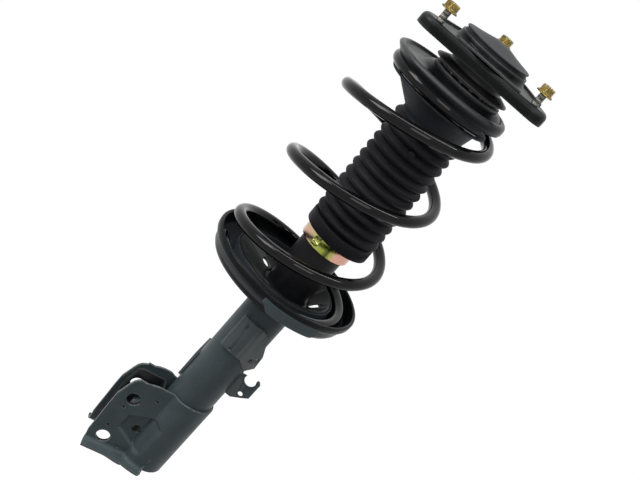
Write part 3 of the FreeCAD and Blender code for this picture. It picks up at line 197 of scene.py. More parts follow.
def pressed_sheet(name, columns, rows, rule):
    """A sheet whose points are placed by a rule on their share across and down, from 0 to 1."""
    bpy.ops.object.select_all(action="DESELECT")
    bpy.ops.mesh.primitive_grid_add(x_subdivisions=columns, y_subdivisions=rows, size=2)
    piece = added(name)
    for vertex in piece.data.vertices:
        across, down = (vertex.co.x + 1) / 2, (1 - vertex.co.y) / 2
        vertex.co = Vector(rule(across, down)) * MM
    return piece


def peg(name, radius, start, end, sides=32):
    """A round peg from one point to another, as a cutter or a pin."""
    start, end = Vector(start) * MM, Vector(end) * MM
    axis = end - start
    turn = axis.to_track_quat("Z", "Y").to_euler()
    bpy.ops.object.select_all(action="DESELECT")
    bpy.ops.mesh.primitive_cylinder_add(vertices=sides, radius=radius * MM, depth=axis.length,
                                        location=(start + end) / 2, rotation=turn)
    bpy.ops.object.transform_apply(location=True, rotation=True, scale=True)
    return added(name)


def wire(name, points, radius, roundness):
    """A wire along a line of points, with closed ends; roundness 0 gives it four sides."""
    curve = bpy.data.curves.new(name, "CURVE")
    curve.dimensions = "3D"
    curve.bevel_depth = radius * MM
    curve.bevel_resolution = roundness
    curve.use_fill_caps = True
    spline = curve.splines.new("POLY")
    spline.points.add(len(points) - 1)
    for spot, point in zip(spline.points, points):
        spot.co = (*(Vector(point) * MM), 1)
    path = bpy.data.objects.new(name, curve)
    bpy.context.collection.objects.link(path)
    hold(path)
    bpy.ops.object.convert(target="MESH")
    return added(name)


def softened(node, width, segments=2):
    """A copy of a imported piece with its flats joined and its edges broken."""
    piece = bpy.data.objects.new(node + "_finished", NODES[node].data.copy())
    bpy.context.collection.objects.link(piece)
    hold(piece)
    bpy.ops.object.mode_set(mode="EDIT")
    bpy.ops.mesh.select_all(action="SELECT")
    bpy.ops.mesh.remove_doubles(threshold=MERGE)
    bpy.ops.mesh.dissolve_limited(angle_limit=math.radians(0.5))
    bpy.ops.object.mode_set(mode="OBJECT")
    return shade(break_edges(piece, width, segments))


def paint(piece, finish):
    """Give a piece one finish all over."""
    piece.data.materials.clear()
    piece.data.materials.append(finish)


def fit(piece, node, finish):
    """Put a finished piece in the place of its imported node."""
    paint(piece, finish)
    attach(piece, BODY_OF[node])
    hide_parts(node)


# Finishes

# A noise pattern keeps between about these values
NOISE_LOW, NOISE_HIGH = 0.3, 0.7


class Finish:
    """A material under construction: a shader and the patterns that feed it."""

    def __init__(self, name, metallic=0.0, specular=0.5):
        self.material = bpy.data.materials.new(name)
        self.material.use_nodes = True
        self.tree = self.material.node_tree
        self.tree.nodes.clear()
        self.shader = self.add("ShaderNodeBsdfPrincipled")
        self.shader.inputs["Metallic"].default_value = metallic
        self.shader.inputs["Specular IOR Level"].default_value = specular
        output = self.add("ShaderNodeOutputMaterial")
        self.join(self.shader.outputs[0], output.inputs["Surface"])
        self.place = self.add("ShaderNodeTexCoord").outputs["Object"]

    def add(self, kind, **settings):
        """Add a node to the material."""
        node = self.tree.nodes.new(kind)
        for name, value in settings.items():
            setattr(node, name, value)
        return node

    def join(self, start, end):
        """Join an output to an input."""
        self.tree.links.new(start, end)

    def along(self, axis):
        """The place along one axis, in metres."""
        split = self.add("ShaderNodeSeparateXYZ")
        self.join(self.place, split.inputs[0])
        return split.outputs[axis]

    def noise(self, size, detail=3.0, rough=0.55, stretch=(1, 1, 1)):
        """A cloudy pattern with spots of about that size in millimetres."""
        mapping = self.add("ShaderNodeMapping")
        mapping.inputs["Scale"].default_value = stretch
        self.join(self.place, mapping.inputs["Vector"])
        texture = self.add("ShaderNodeTexNoise")
        texture.inputs["Scale"].default_value = 1 / (size * MM)
        texture.inputs["Detail"].default_value = detail
        texture.inputs["Roughness"].default_value = rough
        self.join(mapping.outputs[0], texture.inputs["Vector"])
        return texture.outputs["Fac"]

    def range(self, value, low, high, start=NOISE_LOW, end=NOISE_HIGH):
        """Stretch a pattern from one span of values to another."""
        step = self.add("ShaderNodeMapRange")
        self.join(value, step.inputs["Value"])
        step.inputs["From Min"].default_value = start
        step.inputs["From Max"].default_value = end
        step.inputs["To Min"].default_value = low
        step.inputs["To Max"].default_value = high
        return step.outputs["Result"]

    def ramp(self, value, stops):
        """Colours along a pattern, as (position, colour) stops."""
        ramp = self.add("ShaderNodeValToRGB")
        band = ramp.color_ramp
        while len(band.elements) < len(stops):
            band.elements.new(0.5)
        for element, (position, colour) in zip(band.elements, stops):
            element.position = position
            element.color = (*colour, 1)
        self.join(value, ramp.inputs["Fac"])
        return ramp.outputs["Color"]

    def shades(self, value, low, high):
        """Two shades of a colour that follow a noise pattern."""
        return self.ramp(value, [(NOISE_LOW, low), (NOISE_HIGH, high)])

    def mix(self, share, first, second):
        """Two colours mixed by a pattern."""
        step = self.add("ShaderNodeMix", data_type="RGBA")
        self.join(share, step.inputs["Factor"])
        for value, socket in ((first, step.inputs["A"]), (second, step.inputs["B"])):
            if isinstance(value, tuple):
                socket.default_value = (*value, 1)
            else:
                self.join(value, socket)
        return step.outputs["Result"]

    def edge_wear_and_highlight(self, start, end):
        """A pattern that is strong on outer edges, where wear and a painted edge highlight go."""
        edge = self.add("ShaderNodeNewGeometry").outputs["Pointiness"]
        return self.range(edge, 0.0, 1.0, start, end)

    def bump(self, *layers):
        """Surface relief from (pattern, depth in millimetres) layers."""
        normal = None
        for pattern, depth in layers:
            step = self.add("ShaderNodeBump")
            step.inputs["Distance"].default_value = depth * MM
            self.join(pattern, step.inputs["Height"])
            if normal is not None:
                self.join(normal, step.inputs["Normal"])
            normal = step.outputs["Normal"]
        self.join(normal, self.shader.inputs["Normal"])

    def colour(self, value):
        """Colour the surface by a pattern."""
        self.join(value, self.shader.inputs["Base Color"])

    def roughness(self, value):
        """Vary the surface's roughness by a pattern."""
        self.join(value, self.shader.inputs["Roughness"])


def orange_peel(finish, speck, shine):
    """The shine and the fine relief of a dipped coat."""
    finish.roughness(finish.range(finish.noise(12.0), *shine))
    finish.bump((speck, 0.02), (finish.noise(4.0, 2.0), 0.03))


def satin_coat(name, low, high, wear_and_highlight, shine, specular):
    """Electro-coated pressed steel: faint clouds, fine orange peel, edges lighter as rubbed wear and a
    painted highlight.
    """
    finish = Finish(name, specular=specular)
    cloud = finish.noise(26.0, 4.0)
    speck = finish.noise(0.9, 2.0)
    body = finish.shades(cloud, low, high)
    body = finish.mix(finish.range(speck, 0.0, 0.16, 0.5, 0.75), body, wear_and_highlight)
    # Edges go to the light colour: rubbed wear, and also a painted highlight along the edges.
    finish.colour(finish.mix(finish.edge_wear_and_highlight(0.515, 0.57), body, wear_and_highlight))
    orange_peel(finish, speck, shine)
    return finish.material


# Slate shades; the light one marks specks of wear, and edges that are worn and carry a painted highlight.
SLATE_LOW, SLATE_HIGH, SLATE_WEAR_AND_HIGHLIGHT = (0.040, 0.056, 0.061), (0.060, 0.080, 0.086), (0.13, 0.14, 0.145)


def tube_coat():
    """The tube's slate coat, with painted shade in black inside the spring and inside the knuckle bracket."""
    bracket_shade_from, bracket_shade_to, spring_shade_from, spring_shade_to = -520, -500, -330, -316
    finish = Finish("damper_tube_coat_and_painted_shade", specular=0.18)
    height = finish.along("Z")
    cloud = finish.noise(26.0, 4.0)
    speck = finish.noise(0.9, 2.0)
    slate = finish.shades(cloud, SLATE_LOW, SLATE_HIGH)
    slate = finish.mix(finish.range(speck, 0.0, 0.35, 0.5, 0.75), slate, SLATE_WEAR_AND_HIGHLIGHT)
    # Painted shade: near black where the spring and the knuckle bracket shade the tube.
    black = finish.shades(cloud, (0.004, 0.004, 0.005), (0.008, 0.008, 0.009))
    # Masks for the painted shade: above the seat inside the spring, and below the top of the bracket.
    upper = finish.range(height, 0.0, 1.0, spring_shade_from * MM, spring_shade_to * MM)
    lower = finish.range(height, 1.0, 0.0, bracket_shade_from * MM, bracket_shade_to * MM)
    finish.colour(finish.mix(lower, finish.mix(upper, slate, black), black))
    orange_peel(finish, speck, (0.36, 0.48))
    return finish.material


def gloss_coat():
    """The spring's thick black powder coat, with a little dust on it."""
    finish = Finish("spring_gloss_coat", specular=0.18)
    cloud = finish.noise(18.0)
    body = finish.shades(cloud, (0.002, 0.002, 0.0022), (0.004, 0.004, 0.004))
    dust = finish.noise(1.4, 4.0, 0.7)
    finish.colour(finish.mix(finish.range(dust, 0.0, 0.35, 0.68, 0.8), body, (0.035, 0.033, 0.031)))
    finish.roughness(finish.range(finish.noise(9.0), 0.05, 0.11))
    finish.bump((finish.noise(6.0, 2.0), 0.03))
    return finish.material


def rubber(name, low, high, dust, specular, shine=(0.5, 0.66)):
    """Moulded rubber with a dry bloom and a fine grain."""
    finish = Finish(name, specular=specular)
    cloud = finish.noise(15.0, 5.0, 0.65)
    fine = finish.noise(0.7)
    body = finish.shades(cloud, low, high)
    finish.colour(finish.mix(finish.range(fine, 0.0, 0.4, 0.55, 0.8), body, dust))
    finish.roughness(finish.range(cloud, *shine))
    finish.bump((fine, 0.03), (finish.noise(5.0, 2.0), 0.04))
    return finish.material


def foam_rubber():
    """Pale foam with small cells."""
    finish = Finish("bump_stop_foam", specular=0.2)
    cloud = finish.noise(12.0, 4.0)
    cells = finish.noise(0.6, 2.0)
    body = finish.shades(cloud, (0.42, 0.36, 0.22), (0.55, 0.49, 0.32))
    finish.colour(finish.mix(finish.range(cells, 0.0, 0.5, 0.5, 0.75), body, (0.28, 0.23, 0.13)))
    finish.roughness(finish.range(cloud, 0.75, 0.9))
    finish.bump((cells, 0.08))
    return finish.material


def plated(finish, low, high):
    """The shine and the fine crystals of a zinc plated surface."""
    finish.roughness(finish.range(finish.noise(2.5), low, high))
    finish.bump((finish.noise(0.5, 2.0), 0.012))


def nut_zinc():
    """Yellow chromate over zinc: shifting bands of gold, olive and rose, with dark bands that are a painted
    reflection.
    """
    finish = Finish("nut_yellow_zinc_painted_reflection", metallic=1.0)
    # Painted reflection: the near-black and dark brown stops stand in for dark surroundings mirrored in the
    # facets; gold, olive and rose are chromate tints.
    finish.colour(finish.ramp(finish.noise(5.0, 3.0, 0.6, (1, 1, 1.6)), [
        (0.34, (0.02, 0.016, 0.008)), (0.42, (0.32, 0.22, 0.05)), (0.50, (0.10, 0.07, 0.035)),
        (0.58, (0.22, 0.19, 0.05)), (0.68, (0.24, 0.15, 0.09))]))
    plated(finish, 0.14, 0.28)
    return finish.material


def ring_zinc():
    """Chromate over zinc, with a painted reflection: rose at both sides, olive and near black between them.
    """
    # Where the painted reflection's bands start and end along X, and how far they wander.
    left, right, drift = -25 * MM, 33 * MM, 8 * MM
    finish = Finish("ring_yellow_zinc_painted_reflection", metallic=1.0)
    wander = finish.add("ShaderNodeMath", operation="MULTIPLY_ADD")
    finish.join(finish.noise(7.0, 3.0, 0.6, (1, 1, 0.4)), wander.inputs[0])
    wander.inputs[1].default_value = drift
    finish.join(finish.along("X"), wander.inputs[2])
    across = finish.range(wander.outputs[0], 0.0, 1.0, left, right)
    # Painted reflection: the bands run across X, rose at both sides and near black in the middle, in the
    # chromate's tints.
    finish.colour(finish.ramp(across, [
        (0.0, (0.58, 0.38, 0.27)), (0.07, (0.58, 0.42, 0.26)), (0.13, (0.46, 0.46, 0.16)),
        (0.34, (0.28, 0.32, 0.05)), (0.46, (0.05, 0.05, 0.02)), (0.52, (0.36, 0.36, 0.10)),
        (0.62, (0.62, 0.34, 0.26)), (1.0, (0.52, 0.28, 0.23))]))
    plated(finish, 0.12, 0.24)
    return finish.material


def bare_steel(name, low, high, shine=(0.28, 0.42), lines=(1, 1, 14)):
    """Turned or drawn steel with fine lines left by the tool."""
    finish = Finish(name, metallic=1.0)
    finish.colour(finish.shades(finish.noise(6.0, 4.0), low, high))
    marks = finish.noise(1.5, 2.0, 0.5, lines)
    finish.roughness(finish.range(marks, *shine))
    finish.bump((marks, 0.008))
    return finish.material


def plastic(name, low, high):
    """Moulded plastic with a fine grain."""
    finish = Finish(name, specular=0.45)
    cloud = finish.noise(10.0)
    grain = finish.noise(0.5, 2.0)
    finish.colour(finish.shades(cloud, low, high))
    finish.roughness(finish.range(cloud, 0.4, 0.55))
    finish.bump((grain, 0.02))
    return finish.material


# The third colour of each satin coat is for specks of wear and for edges, where it is also a painted
# highlight.
TUBE_COAT = satin_coat("tube_satin_coat", SLATE_LOW, SLATE_HIGH, SLATE_WEAR_AND_HIGHLIGHT, (0.38, 0.5), 0.2)
SEAT_COAT = satin_coat("seat_satin_coat", (0.0035, 0.004, 0.0045), (0.007, 0.0078, 0.0085),
                       (0.07, 0.072, 0.074), (0.26, 0.36), 0.08)
PLATE_COAT = satin_coat("plate_satin_coat", (0.0022, 0.0024, 0.0027), (0.005, 0.0053, 0.0056),
                        (0.09, 0.092, 0.094), (0.28, 0.38), 0.075)
SPRING_COAT = gloss_coat()
BOOT_RUBBER = rubber("boot_rubber", (0.004, 0.004, 0.006), (0.009, 0.009, 0.012), (0.03, 0.03, 0.033), 0.12)
PAD_RUBBER = rubber("seat_rubber", (0.014, 0.018, 0.022), (0.024, 0.029, 0.034), (0.06, 0.063, 0.067), 0.16)
CAP_RUBBER = rubber("cap_rubber", (0.013, 0.014, 0.015), (0.022, 0.0235, 0.025), (0.05, 0.05, 0.05), 0.16,
                    (0.42, 0.55))
DARK_RUBBER = rubber("mount_rubber", (0.008, 0.008, 0.009), (0.014, 0.014, 0.015), (0.04, 0.04, 0.04), 0.15)
FOAM = foam_rubber()
NUT_ZINC = nut_zinc()
RING_ZINC = ring_zinc()
STUD_STEEL = bare_steel("stud_steel", (0.13, 0.125, 0.11), (0.22, 0.21, 0.19), (0.42, 0.55))
PLAIN_STEEL = bare_steel("plain_steel", (0.42, 0.43, 0.45), (0.56, 0.57, 0.58))
CHROME = bare_steel("rod_chrome", (0.60, 0.61, 0.63), (0.66, 0.67, 0.69), (0.06, 0.12), (1, 1, 30))
BEARING_PLASTIC = plastic("bearing_plastic", (0.014, 0.014, 0.015), (0.024, 0.024, 0.025))
SLIP_RING = plastic("slip_ring", (0.20, 0.12, 0.05), (0.30, 0.19, 0.09))


# Top mount

def lobe_reach(angle, lobe):
    """Distance from the centre to the rounded triangle's edge in one direction."""
    third = 120.0
    turn = (math.degrees(angle) - STUD_ANGLES[0]) % third
    turn = math.radians(min(turn, third - turn))
    half = math.radians(third / 2)
    tangent = math.atan2(lobe * math.sin(half), STUD_REACH + lobe * math.cos(half))
    if turn > tangent:
        return (STUD_REACH * math.cos(half) + lobe) / math.cos(half - turn)
    across = STUD_REACH * math.sin(turn)
    return STUD_REACH * math.cos(turn) + math.sqrt(lobe * lobe - across * across)


def make_upstand(side, start, end):
    """Blunt-ended bar pressed up along one straight side of the plate."""
    from_edge, half_width, top, foot = 5.4, 1.5, 2.2, -0.6
    normal = Vector((*around(1, side), 0))
    along = Vector((-normal.y, normal.x, 0))
    reach = STUD_REACH / 2 + PLATE_LOBE - from_edge
    middle, half_long = (start + end) / 2, (end - start) / 2
    bpy.ops.object.select_all(action="DESELECT")
    bpy.ops.mesh.primitive_cube_add(size=2 * MM)
    bar = added("plate_upstand")

    def place(x, y, z):
        spot = normal * (reach + y * half_width) + along * (middle + x * half_long)
        return spot.x, spot.y, top if z > 0 else foot

    return shade(break_edges(faces_out(moved(bar, place)), 0.7, 3))


def make_mount_plate():
    """Pressed three-lobed plate: a deep rim, a broad bend, and a dome that stands on a flare."""
    bend, flare, flatness = 5.5, 5.0, 0.8
    edge, level = DOME_RADIUS + 40.0, DOME_RADIUS + 14
    round_to, lobed_from = DOME_RADIUS + 10, edge - 14
    quarter = [math.radians(step) for step in range(0, 91, 15)]
    outer = [(edge, PLATE_RIM), (edge, PLATE_RIM * 0.7)]
    outer += [(edge - bend * (1 - math.cos(a)), -bend * (1 - math.sin(a))) for a in quarter]
    outer += [(level, 0.0), (DOME_RADIUS + flare + 1, 0.0)]
    outer += [(DOME_RADIUS + flare * (1 - math.sin(a)), flare * (1 - math.cos(a)) * flatness)
              for a in quarter]
    outer += [(DOME_RADIUS, DOME_TOP - 1.2), (DOME_RADIUS - 0.35, DOME_TOP - 0.35),
              (DOME_RADIUS - 1.2, DOME_TOP), (DOME_HOLE, DOME_TOP)]
    inner = [(DOME_HOLE, DOME_TOP - PLATE_SHEET), (DOME_BORE, DOME_TOP - PLATE_SHEET),
             (DOME_BORE, -PLATE_SHEET), (level, -PLATE_SHEET), (edge - bend, -PLATE_SHEET),
             (edge - PLATE_SHEET, -bend), (edge - PLATE_SHEET, PLATE_RIM)]
    plate = turned("mount_plate_pressing", outer + inner, 288)

    def to_lobes(x, y, z):
        radius, angle = math.hypot(x, y), math.atan2(y, x)
        if radius <= round_to:
            return x, y, z
        inset = max(edge - radius, 0.0)
        reach = lobe_reach(angle, PLATE_LOBE - min(inset, PLATE_LOBE * 0.6))
        radius += (reach - radius) * smooth((radius - round_to) / (lobed_from - round_to))
        return radius * math.cos(angle), radius * math.sin(angle), z

    moved(plate, to_lobes)
    for angle in STUD_ANGLES:
        x, y = around(STUD_REACH, angle)
        cut_away(plate, peg("stud_hole", STUD_NECK, (x, y, -6), (x, y, 4)))
    break_edges(plate, 0.3, angle=50)
    bars = [make_upstand(251, -35, 41), make_upstand(131, -41, 46), make_upstand(11, -48, 35)]
    fit(joined("mount_plate_pressing", [shade(plate)] + bars), "mount_plate", PLATE_COAT)


def make_studs():
    """Three threaded studs with heads under the plate."""
    low, high = span("tower_studs")
    head, root, tip = 6.5, 3.45, 2.7
    head_top, thread_foot, plain_ends = low + 3, 2.2, 3.4
    pitch, ridge_middle, ridge_radius, per_turn = 1.25, 3.38, 0.62, 20
    section = [(0, low), (head, low), (head, head_top), (STUD_NECK, head_top), (STUD_NECK, 1.6),
               (root, thread_foot), (root, high - 1), (tip, high), (0, high)]
    line = []
    for step in range(int((high - plain_ends) / pitch * per_turn)):
        turn = 2 * math.pi * step / per_turn
        line.append((ridge_middle * math.cos(turn), ridge_middle * math.sin(turn),
                     thread_foot + pitch * step / per_turn))
    studs = []
    for angle in STUD_ANGLES:
        core = break_edges(turned("stud_core", section, 40), 0.2, angle=40)
        stud = joined("stud", [core, wire("stud_thread", line, ridge_radius, 0)])
        x, y = around(STUD_REACH, angle)
        studs.append(moved(stud, lambda px, py, pz, x=x, y=y: (px + x, py + y, pz)))
    fit(shade(joined("tower_studs_threaded", studs), 40), "tower_studs", STUD_STEEL)


def make_nuts():
    """Flange nuts, spun on a little way."""
    fit(softened("stud_nuts", 0.25), "stud_nuts", NUT_ZINC)


def make_dust_cap():
    """Low cone with two ridges round its side, plugged into the dome's hole."""
    low, high = span("dust_cap")
    plug = DOME_HOLE - 0.1
    cap = turned("dust_cap_moulding", [
        (plug - 1.6, low), (plug, low), (plug, DOME_TOP), (37.6, DOME_TOP), (37.9, DOME_TOP + 0.4),
        (37.9, DOME_TOP + 1.1), (37.5, DOME_TOP + 1.4), (36.6, DOME_TOP + 1.7), (36.6, DOME_TOP + 2.7),
        (37.8, DOME_TOP + 3.1), (38.2, DOME_TOP + 3.5), (38.2, DOME_TOP + 4.6), (37.7, DOME_TOP + 5.0),
        (30.0, DOME_TOP + 6.3), (20.0, DOME_TOP + 8.3), (11.0, DOME_TOP + 10.4), (7.5, high - 0.15),
        (6.0, high), (0, high), (0, high - 1.6), (7.0, high - 1.6), (plug - 1.6, DOME_TOP + 4.6)])
    fit(shade(cap, 28), "dust_cap", CAP_RUBBER)


def make_inner_mount():
    """Bonded rubber, cup, sleeve, washer and the rod's nut, under the cap."""
    low, high = span("mount_rubber")
    bush = turned("mount_rubber_bonded", [
        (10, low), (15, low), (18, low - 0.5), (DOME_BORE, -10), (DOME_BORE, high), (DOME_HOLE, high),
        (27, high - 1.4), (24, 0.8), (20, -0.4), (14, -0.8), (10, -0.5)], 96)
    fit(shade(bush, 50), "mount_rubber", DARK_RUBBER)
    fit(softened("mount_cup", 0.5), "mount_cup", SEAT_COAT)
    for node in ("mount_sleeve", "rod_washer"):
        fit(softened(node, 0.3), node, PLAIN_STEEL)
    fit(softened("rod_nut", 0.3), "rod_nut", NUT_ZINC)


def make_bearing():
    """Plastic thrust bearing: an upper race with a dirt lip, its balls, cage and lower race."""
    low, high = span("bearing_upper_race")
    race = turned("bearing_race_and_lip", [
        (24, high), (31, high), (31, -20.6), (31.5, -21.6), (36, -22.6), (43.2, -25.4), (43.5, -25.8),
        (43.5, low + 0.3), (43.2, low), (42.6, low), (36, -24.9), (24, -24.5)])
    fit(shade(break_edges(race, 0.25)), "bearing_upper_race", BEARING_PLASTIC)
    fit(softened("bearing_lower_race", 0.4), "bearing_lower_race", BEARING_PLASTIC)
    paint(NODES["bearing_cage"], BEARING_PLASTIC)
    paint(NODES["bearing_balls"], CHROME)


def make_bump_stop():
    """Foam stop with three bulges and a soft tip."""
    low, high = span("bump_stop")
    long = high - low
    bore, root, taper, waist, tip, steps = 10.4, 22.4, 3.2, 4.6, 6.5, 48
    outline = []
    for step in range(steps + 1):
        share = step / steps
        pinch = math.sin(math.pi * (share * 3.0 - 0.35)) ** 8 * smooth(share * 5)
        rounding = smooth((share - 0.9) / 0.1) ** 2
        outline.append((root - taper * share - waist * pinch - tip * rounding, high - long * share))
    stop = turned("bump_stop_foam", [(bore, high)] + outline + [(bore, low)], 64)
    fit(shade(stop, 50), "bump_stop", FOAM)
    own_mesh(stop)


# Spring seats, rubbers and boot

def upper_lean(x, y, z):
    """The rim's lower edge is narrower than its top, and stands off to one side."""
    floor_radius, rim_top, blend, narrowing, aside = 50, -38.5, 10, 0.058, 4.0
    outer = smooth((math.hypot(x, y) - floor_radius) / blend)
    tuck = smooth((rim_top - z) / blend) * outer
    scale = 1 - narrowing * tuck
    return x * scale + TOP_SHIFT * outer + aside * tuck, y * scale, z


def make_upper_seat():
    """Pressed seat: rolled rim and floor about the spring, hub about the rod."""
    seat = turned("upper_seat_pressing", [
        (30, -34.5), (41.0, -34.5), (42.4, -34.8), (44, -35.6), (48.2, -39.4), (50, -40.2), (60.0, -40.8),
        (60.8, -40.0), (61.3, -38.6), (62.6, -37.8), (64.4, -38.1), (66.4, -39.1), (67.9, -40.8),
        (68.6, -43.0), (68.7, -45.2), (68.7, -47.8), (68.2, -48.5), (66.2, -48.5), (65.7, -48.0),
        (65.7, -43), (49.0, -43), (46.6, -42.0), (42.0, -38.6), (40.8, -37.5), (30, -37.5)])
    fit(shade(moved(seat, upper_lean), 42), "upper_spring_seat", SEAT_COAT)


def make_upper_insulator():
    """Rubber pad with a lip outside the coil and a tapered skirt that carries the boot."""
    low, _ = span("upper_spring_insulator")
    pad_foot, lip_from, skirt_foot, skirt_tall, skirt_extra = -54, 55, -86.5, 24.0, 1.5
    pad = turned("upper_insulator_rubber", [
        (48.5, -43.05), (65.5, -43.05), (65.6, -48.55), (67.4, -48.6), (67.7, -49.0), (67.6, -50.0),
        (67.0, -50.4), (65.8, -50.3), (65.3, -49.6), (65.2, -46.3), (50.8, -46.3), (50.4, -47.0),
        (50.0, -57.5), (52.0, -58.9), (57.5, -59.7), (58.8, -60.2), (59.3, -61.2), (58.4, -62.4),
        (51.6, -63.0), (49.8, -64.1), (34.6, -85.0), (33.6, -86.6), (33.5, low + 0.3), (33.2, low),
        (31.2, low), (31.0, low + 0.4), (31.0, -86.2), (47.0, -63.5), (48.5, -59.5)])

    def lean(x, y, z):
        if z <= pad_foot:
            return x + (TOP_SHIFT + skirt_extra) * smooth((z - skirt_foot) / skirt_tall), y, z
        return upper_lean(x, y, z) if math.hypot(x, y) > lip_from else (x + TOP_SHIFT, y, z)

    fit(shade(moved(pad, lean), 40), "upper_spring_insulator", PAD_RUBBER)


def make_boot():
    """Bellows with twelve rounded ribs and a plain cuff."""
    low, high = span("dust_boot")
    valley, crest, wall, pitch, first, ribs, per_rib = 34.7, 39.2, 1.5, 11.3, -88.5, 12, 12
    cuff, grip, aside = low + 14.5, -90.0, 3.5

    def rib_spot(rib, step, inset):
        share = step / per_rib
        bulge = math.sin(math.pi * share) ** 1.15
        return valley - inset + (crest - valley) * bulge, first - pitch * (rib + share)

    outer = [(34.6, high), (34.9, high - 1.2)]
    outer += [rib_spot(rib, step, 0.0) for rib in range(ribs) for step in range(per_rib)]
    outer += [(valley, first - pitch * ribs), (36.4, cuff - 0.2), (38.0, cuff - 1.2), (38.3, cuff - 2.6),
              (38.3, low + 0.8), (37.9, low), (36.5, low), (36.3, low + 0.5)]
    inner = [rib_spot(rib, step, wall) for rib in range(ribs) for step in range(0, per_rib, 2)]
    inner = [(36.3, cuff - 2), (33.3, cuff + 0.2)] + inner[::-1] + [(33.6, -90.5), (33.6, high)]
    boot = turned("dust_boot_bellows", outer + inner, 112)

    def lean(x, y, z):
        away = aside * max(grip - z, 0) / (grip - low)
        return x + away * math.cos(SPRING_ANGLE), y + away * math.sin(SPRING_ANGLE), z

    moved(boot, lean)
    pip_angle, pip_height = -102.2, -113.5
    start, end = (*around(35, pip_angle), pip_height), (*around(39.4, pip_angle), pip_height)
    pip = peg("boot_pip", 4.0, start, end, 28)
    boot = joined("dust_boot_bellows", [boot, break_edges(pip, 0.6)])
    fit(shade(boot, 60), "dust_boot", BOOT_RUBBER)
    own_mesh(boot)


def spring_line():
    """Centre line of the spring's wire, with flat ends and a narrower coil at the top."""
    first, last, per_turn = -0.45, 3.9, 96
    top, bottom = 53.0, 309.0
    rise_start, rise_full, fall_start, level = -0.2, 0.65, 2.75, 3.5
    narrow_start, narrow_run = 2.9, 0.38
    low_radius, narrowing, low_middle, drift = 75.0, 17.2, -16.0, 4.4

    def ease(turn, start, full):
        if turn <= start:
            return 0.0
        if turn >= full:
            return turn - (start + full) / 2
        return (turn - start) ** 2 / (2 * (full - start))

    def climb(turn):
        return ease(turn, rise_start, rise_full) - ease(turn, fall_start, level)

    points = []
    for step in range(int((last - first) * per_turn) + 1):
        turn = first + step / per_turn
        narrow = smooth((turn - narrow_start) / narrow_run)
        radius = low_radius - narrowing * narrow
        middle = low_middle + drift * narrow
        angle = SPRING_ANGLE + 2 * math.pi * turn
        height = -bottom + (bottom - top) * climb(turn) / climb(level)
        points.append((middle + radius * math.cos(angle), radius * math.sin(angle), height))
    return points


def make_spring():
    """Coil spring of one round wire with blunt ends."""
    spring = break_edges(wire("coil_spring_wire", spring_line(), WIRE_RADIUS, 6), 0.8, 3, 60)
    fit(shade(spring, 60), "coil_spring", SPRING_COAT)
    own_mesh(spring)


def make_strike_cap():
    """Zinc plated cap with three pressed dimples."""
    low, high = span("strike_cap")
    ring = turned("strike_cap_plated", [
        (27.4, low), (29.1, low), (29.4, low + 0.4), (29.4, high - 1.8), (28.9, high - 0.5), (27.8, high),
        (13.0, high), (12.5, high - 0.4), (12.5, high - 2.0), (27.4, high - 2.0)])
    size, reach, height = 9.6, 33.1, -244.6
    for angle in (-129.0, -9.0, 111.0):
        x, y = around(reach, angle)
        bpy.ops.object.select_all(action="DESELECT")
        bpy.ops.mesh.primitive_cube_add(size=size * MM, location=(x * MM, y * MM, height * MM),
                                        rotation=(0, 0, math.radians(angle)))
        bpy.ops.object.transform_apply(location=True, rotation=True, scale=True)
        cut_away(ring, break_edges(added("dimple_punch"), 2.0, 4))
    break_edges(ring, 0.25, angle=35)
    fit(shade(ring, 40), "strike_cap", RING_ZINC)


def make_lower_seat():
    """Dished seat: hem, coil channel, inner ridge and a bowl down to the tube, with a front apron."""
    bowl_radius, blend = 29, 27
    seat = turned("lower_seat_pressing", [
        (85.2, -307.0), (86.4, -306.2), (88.2, -305.2), (89.2, -303.4), (89.5, -301.0), (89.5, -298.2),
        (89.1, -297.1), (88.1, -296.5), (86.6, -296.5), (85.7, -297.2), (85.4, -299), (84.6, -307.6),
        (83.2, -314.0), (81.4, -316.8), (78.4, -318.4), (62.2, -318.4), (61.0, -317.4), (60.4, -304.4),
        (59.6, -303.0), (58.4, -302.5), (57.4, -302.9), (56.4, -304.0), (32.0, -316.8), (29.6, -318.0),
        (28.8, -319.2), (28.5, -332), (25.5, -332), (25.5, -321.4), (29.0, -321.2), (32.0, -319.9),
        (53.6, -308.4), (57.2, -306.6), (57.8, -320.0), (59.4, -321.4), (78.0, -320.4), (81.4, -318.6),
        (83.6, -315.4), (84.8, -311.0)], 160)

    def shift(x, y, z):
        return x + LOW_SHIFT * smooth((math.hypot(x, y) - bowl_radius) / blend), y, z

    moved(seat, shift)
    drains = []
    for radius, angle in ((34.6, -14), (43, 35), (37, 147), (43, 218)):
        x, y = around(radius, angle)
        drains.append(peg("drain", 5.5, (x, y, -330), (x, y, -290)))
    cut_away(seat, joined("drains", drains), "MANIFOLD")
    break_edges(seat, 0.3, angle=50)
    fit(shade(seat, 40), "lower_spring_seat", SEAT_COAT)
    apron = make_apron()
    paint(apron, TUBE_COAT)
    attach(apron, BODY_OF["lower_spring_seat"])


def make_apron():
    """Turned-down tab along the front of the seat's rim."""
    top, foot, reach, flare = -299.0, -314.8, 89.0, 0.45
    first_angle, sweep = -107.5, 46.0
    left_corner, left_rise, right_corner, right_rise = 0.17, 6.8, 0.1, 3.0

    def wrap(across, down):
        left = smooth((left_corner - across) / left_corner)
        right = smooth((across - (1 - right_corner)) / right_corner)
        low = foot + left_rise * left + right_rise * right
        x, y = around(reach + flare * smooth(down * 3), first_angle + sweep * across)
        return LOW_SHIFT + x, y, top + (low - top) * down

    tab = pressed_sheet("apron_tab", 48, 8, wrap)
    modify(tab, "SOLIDIFY", thickness=2.6 * MM, offset=-1.0)
    return shade(break_edges(tab, 0.5, angle=50))


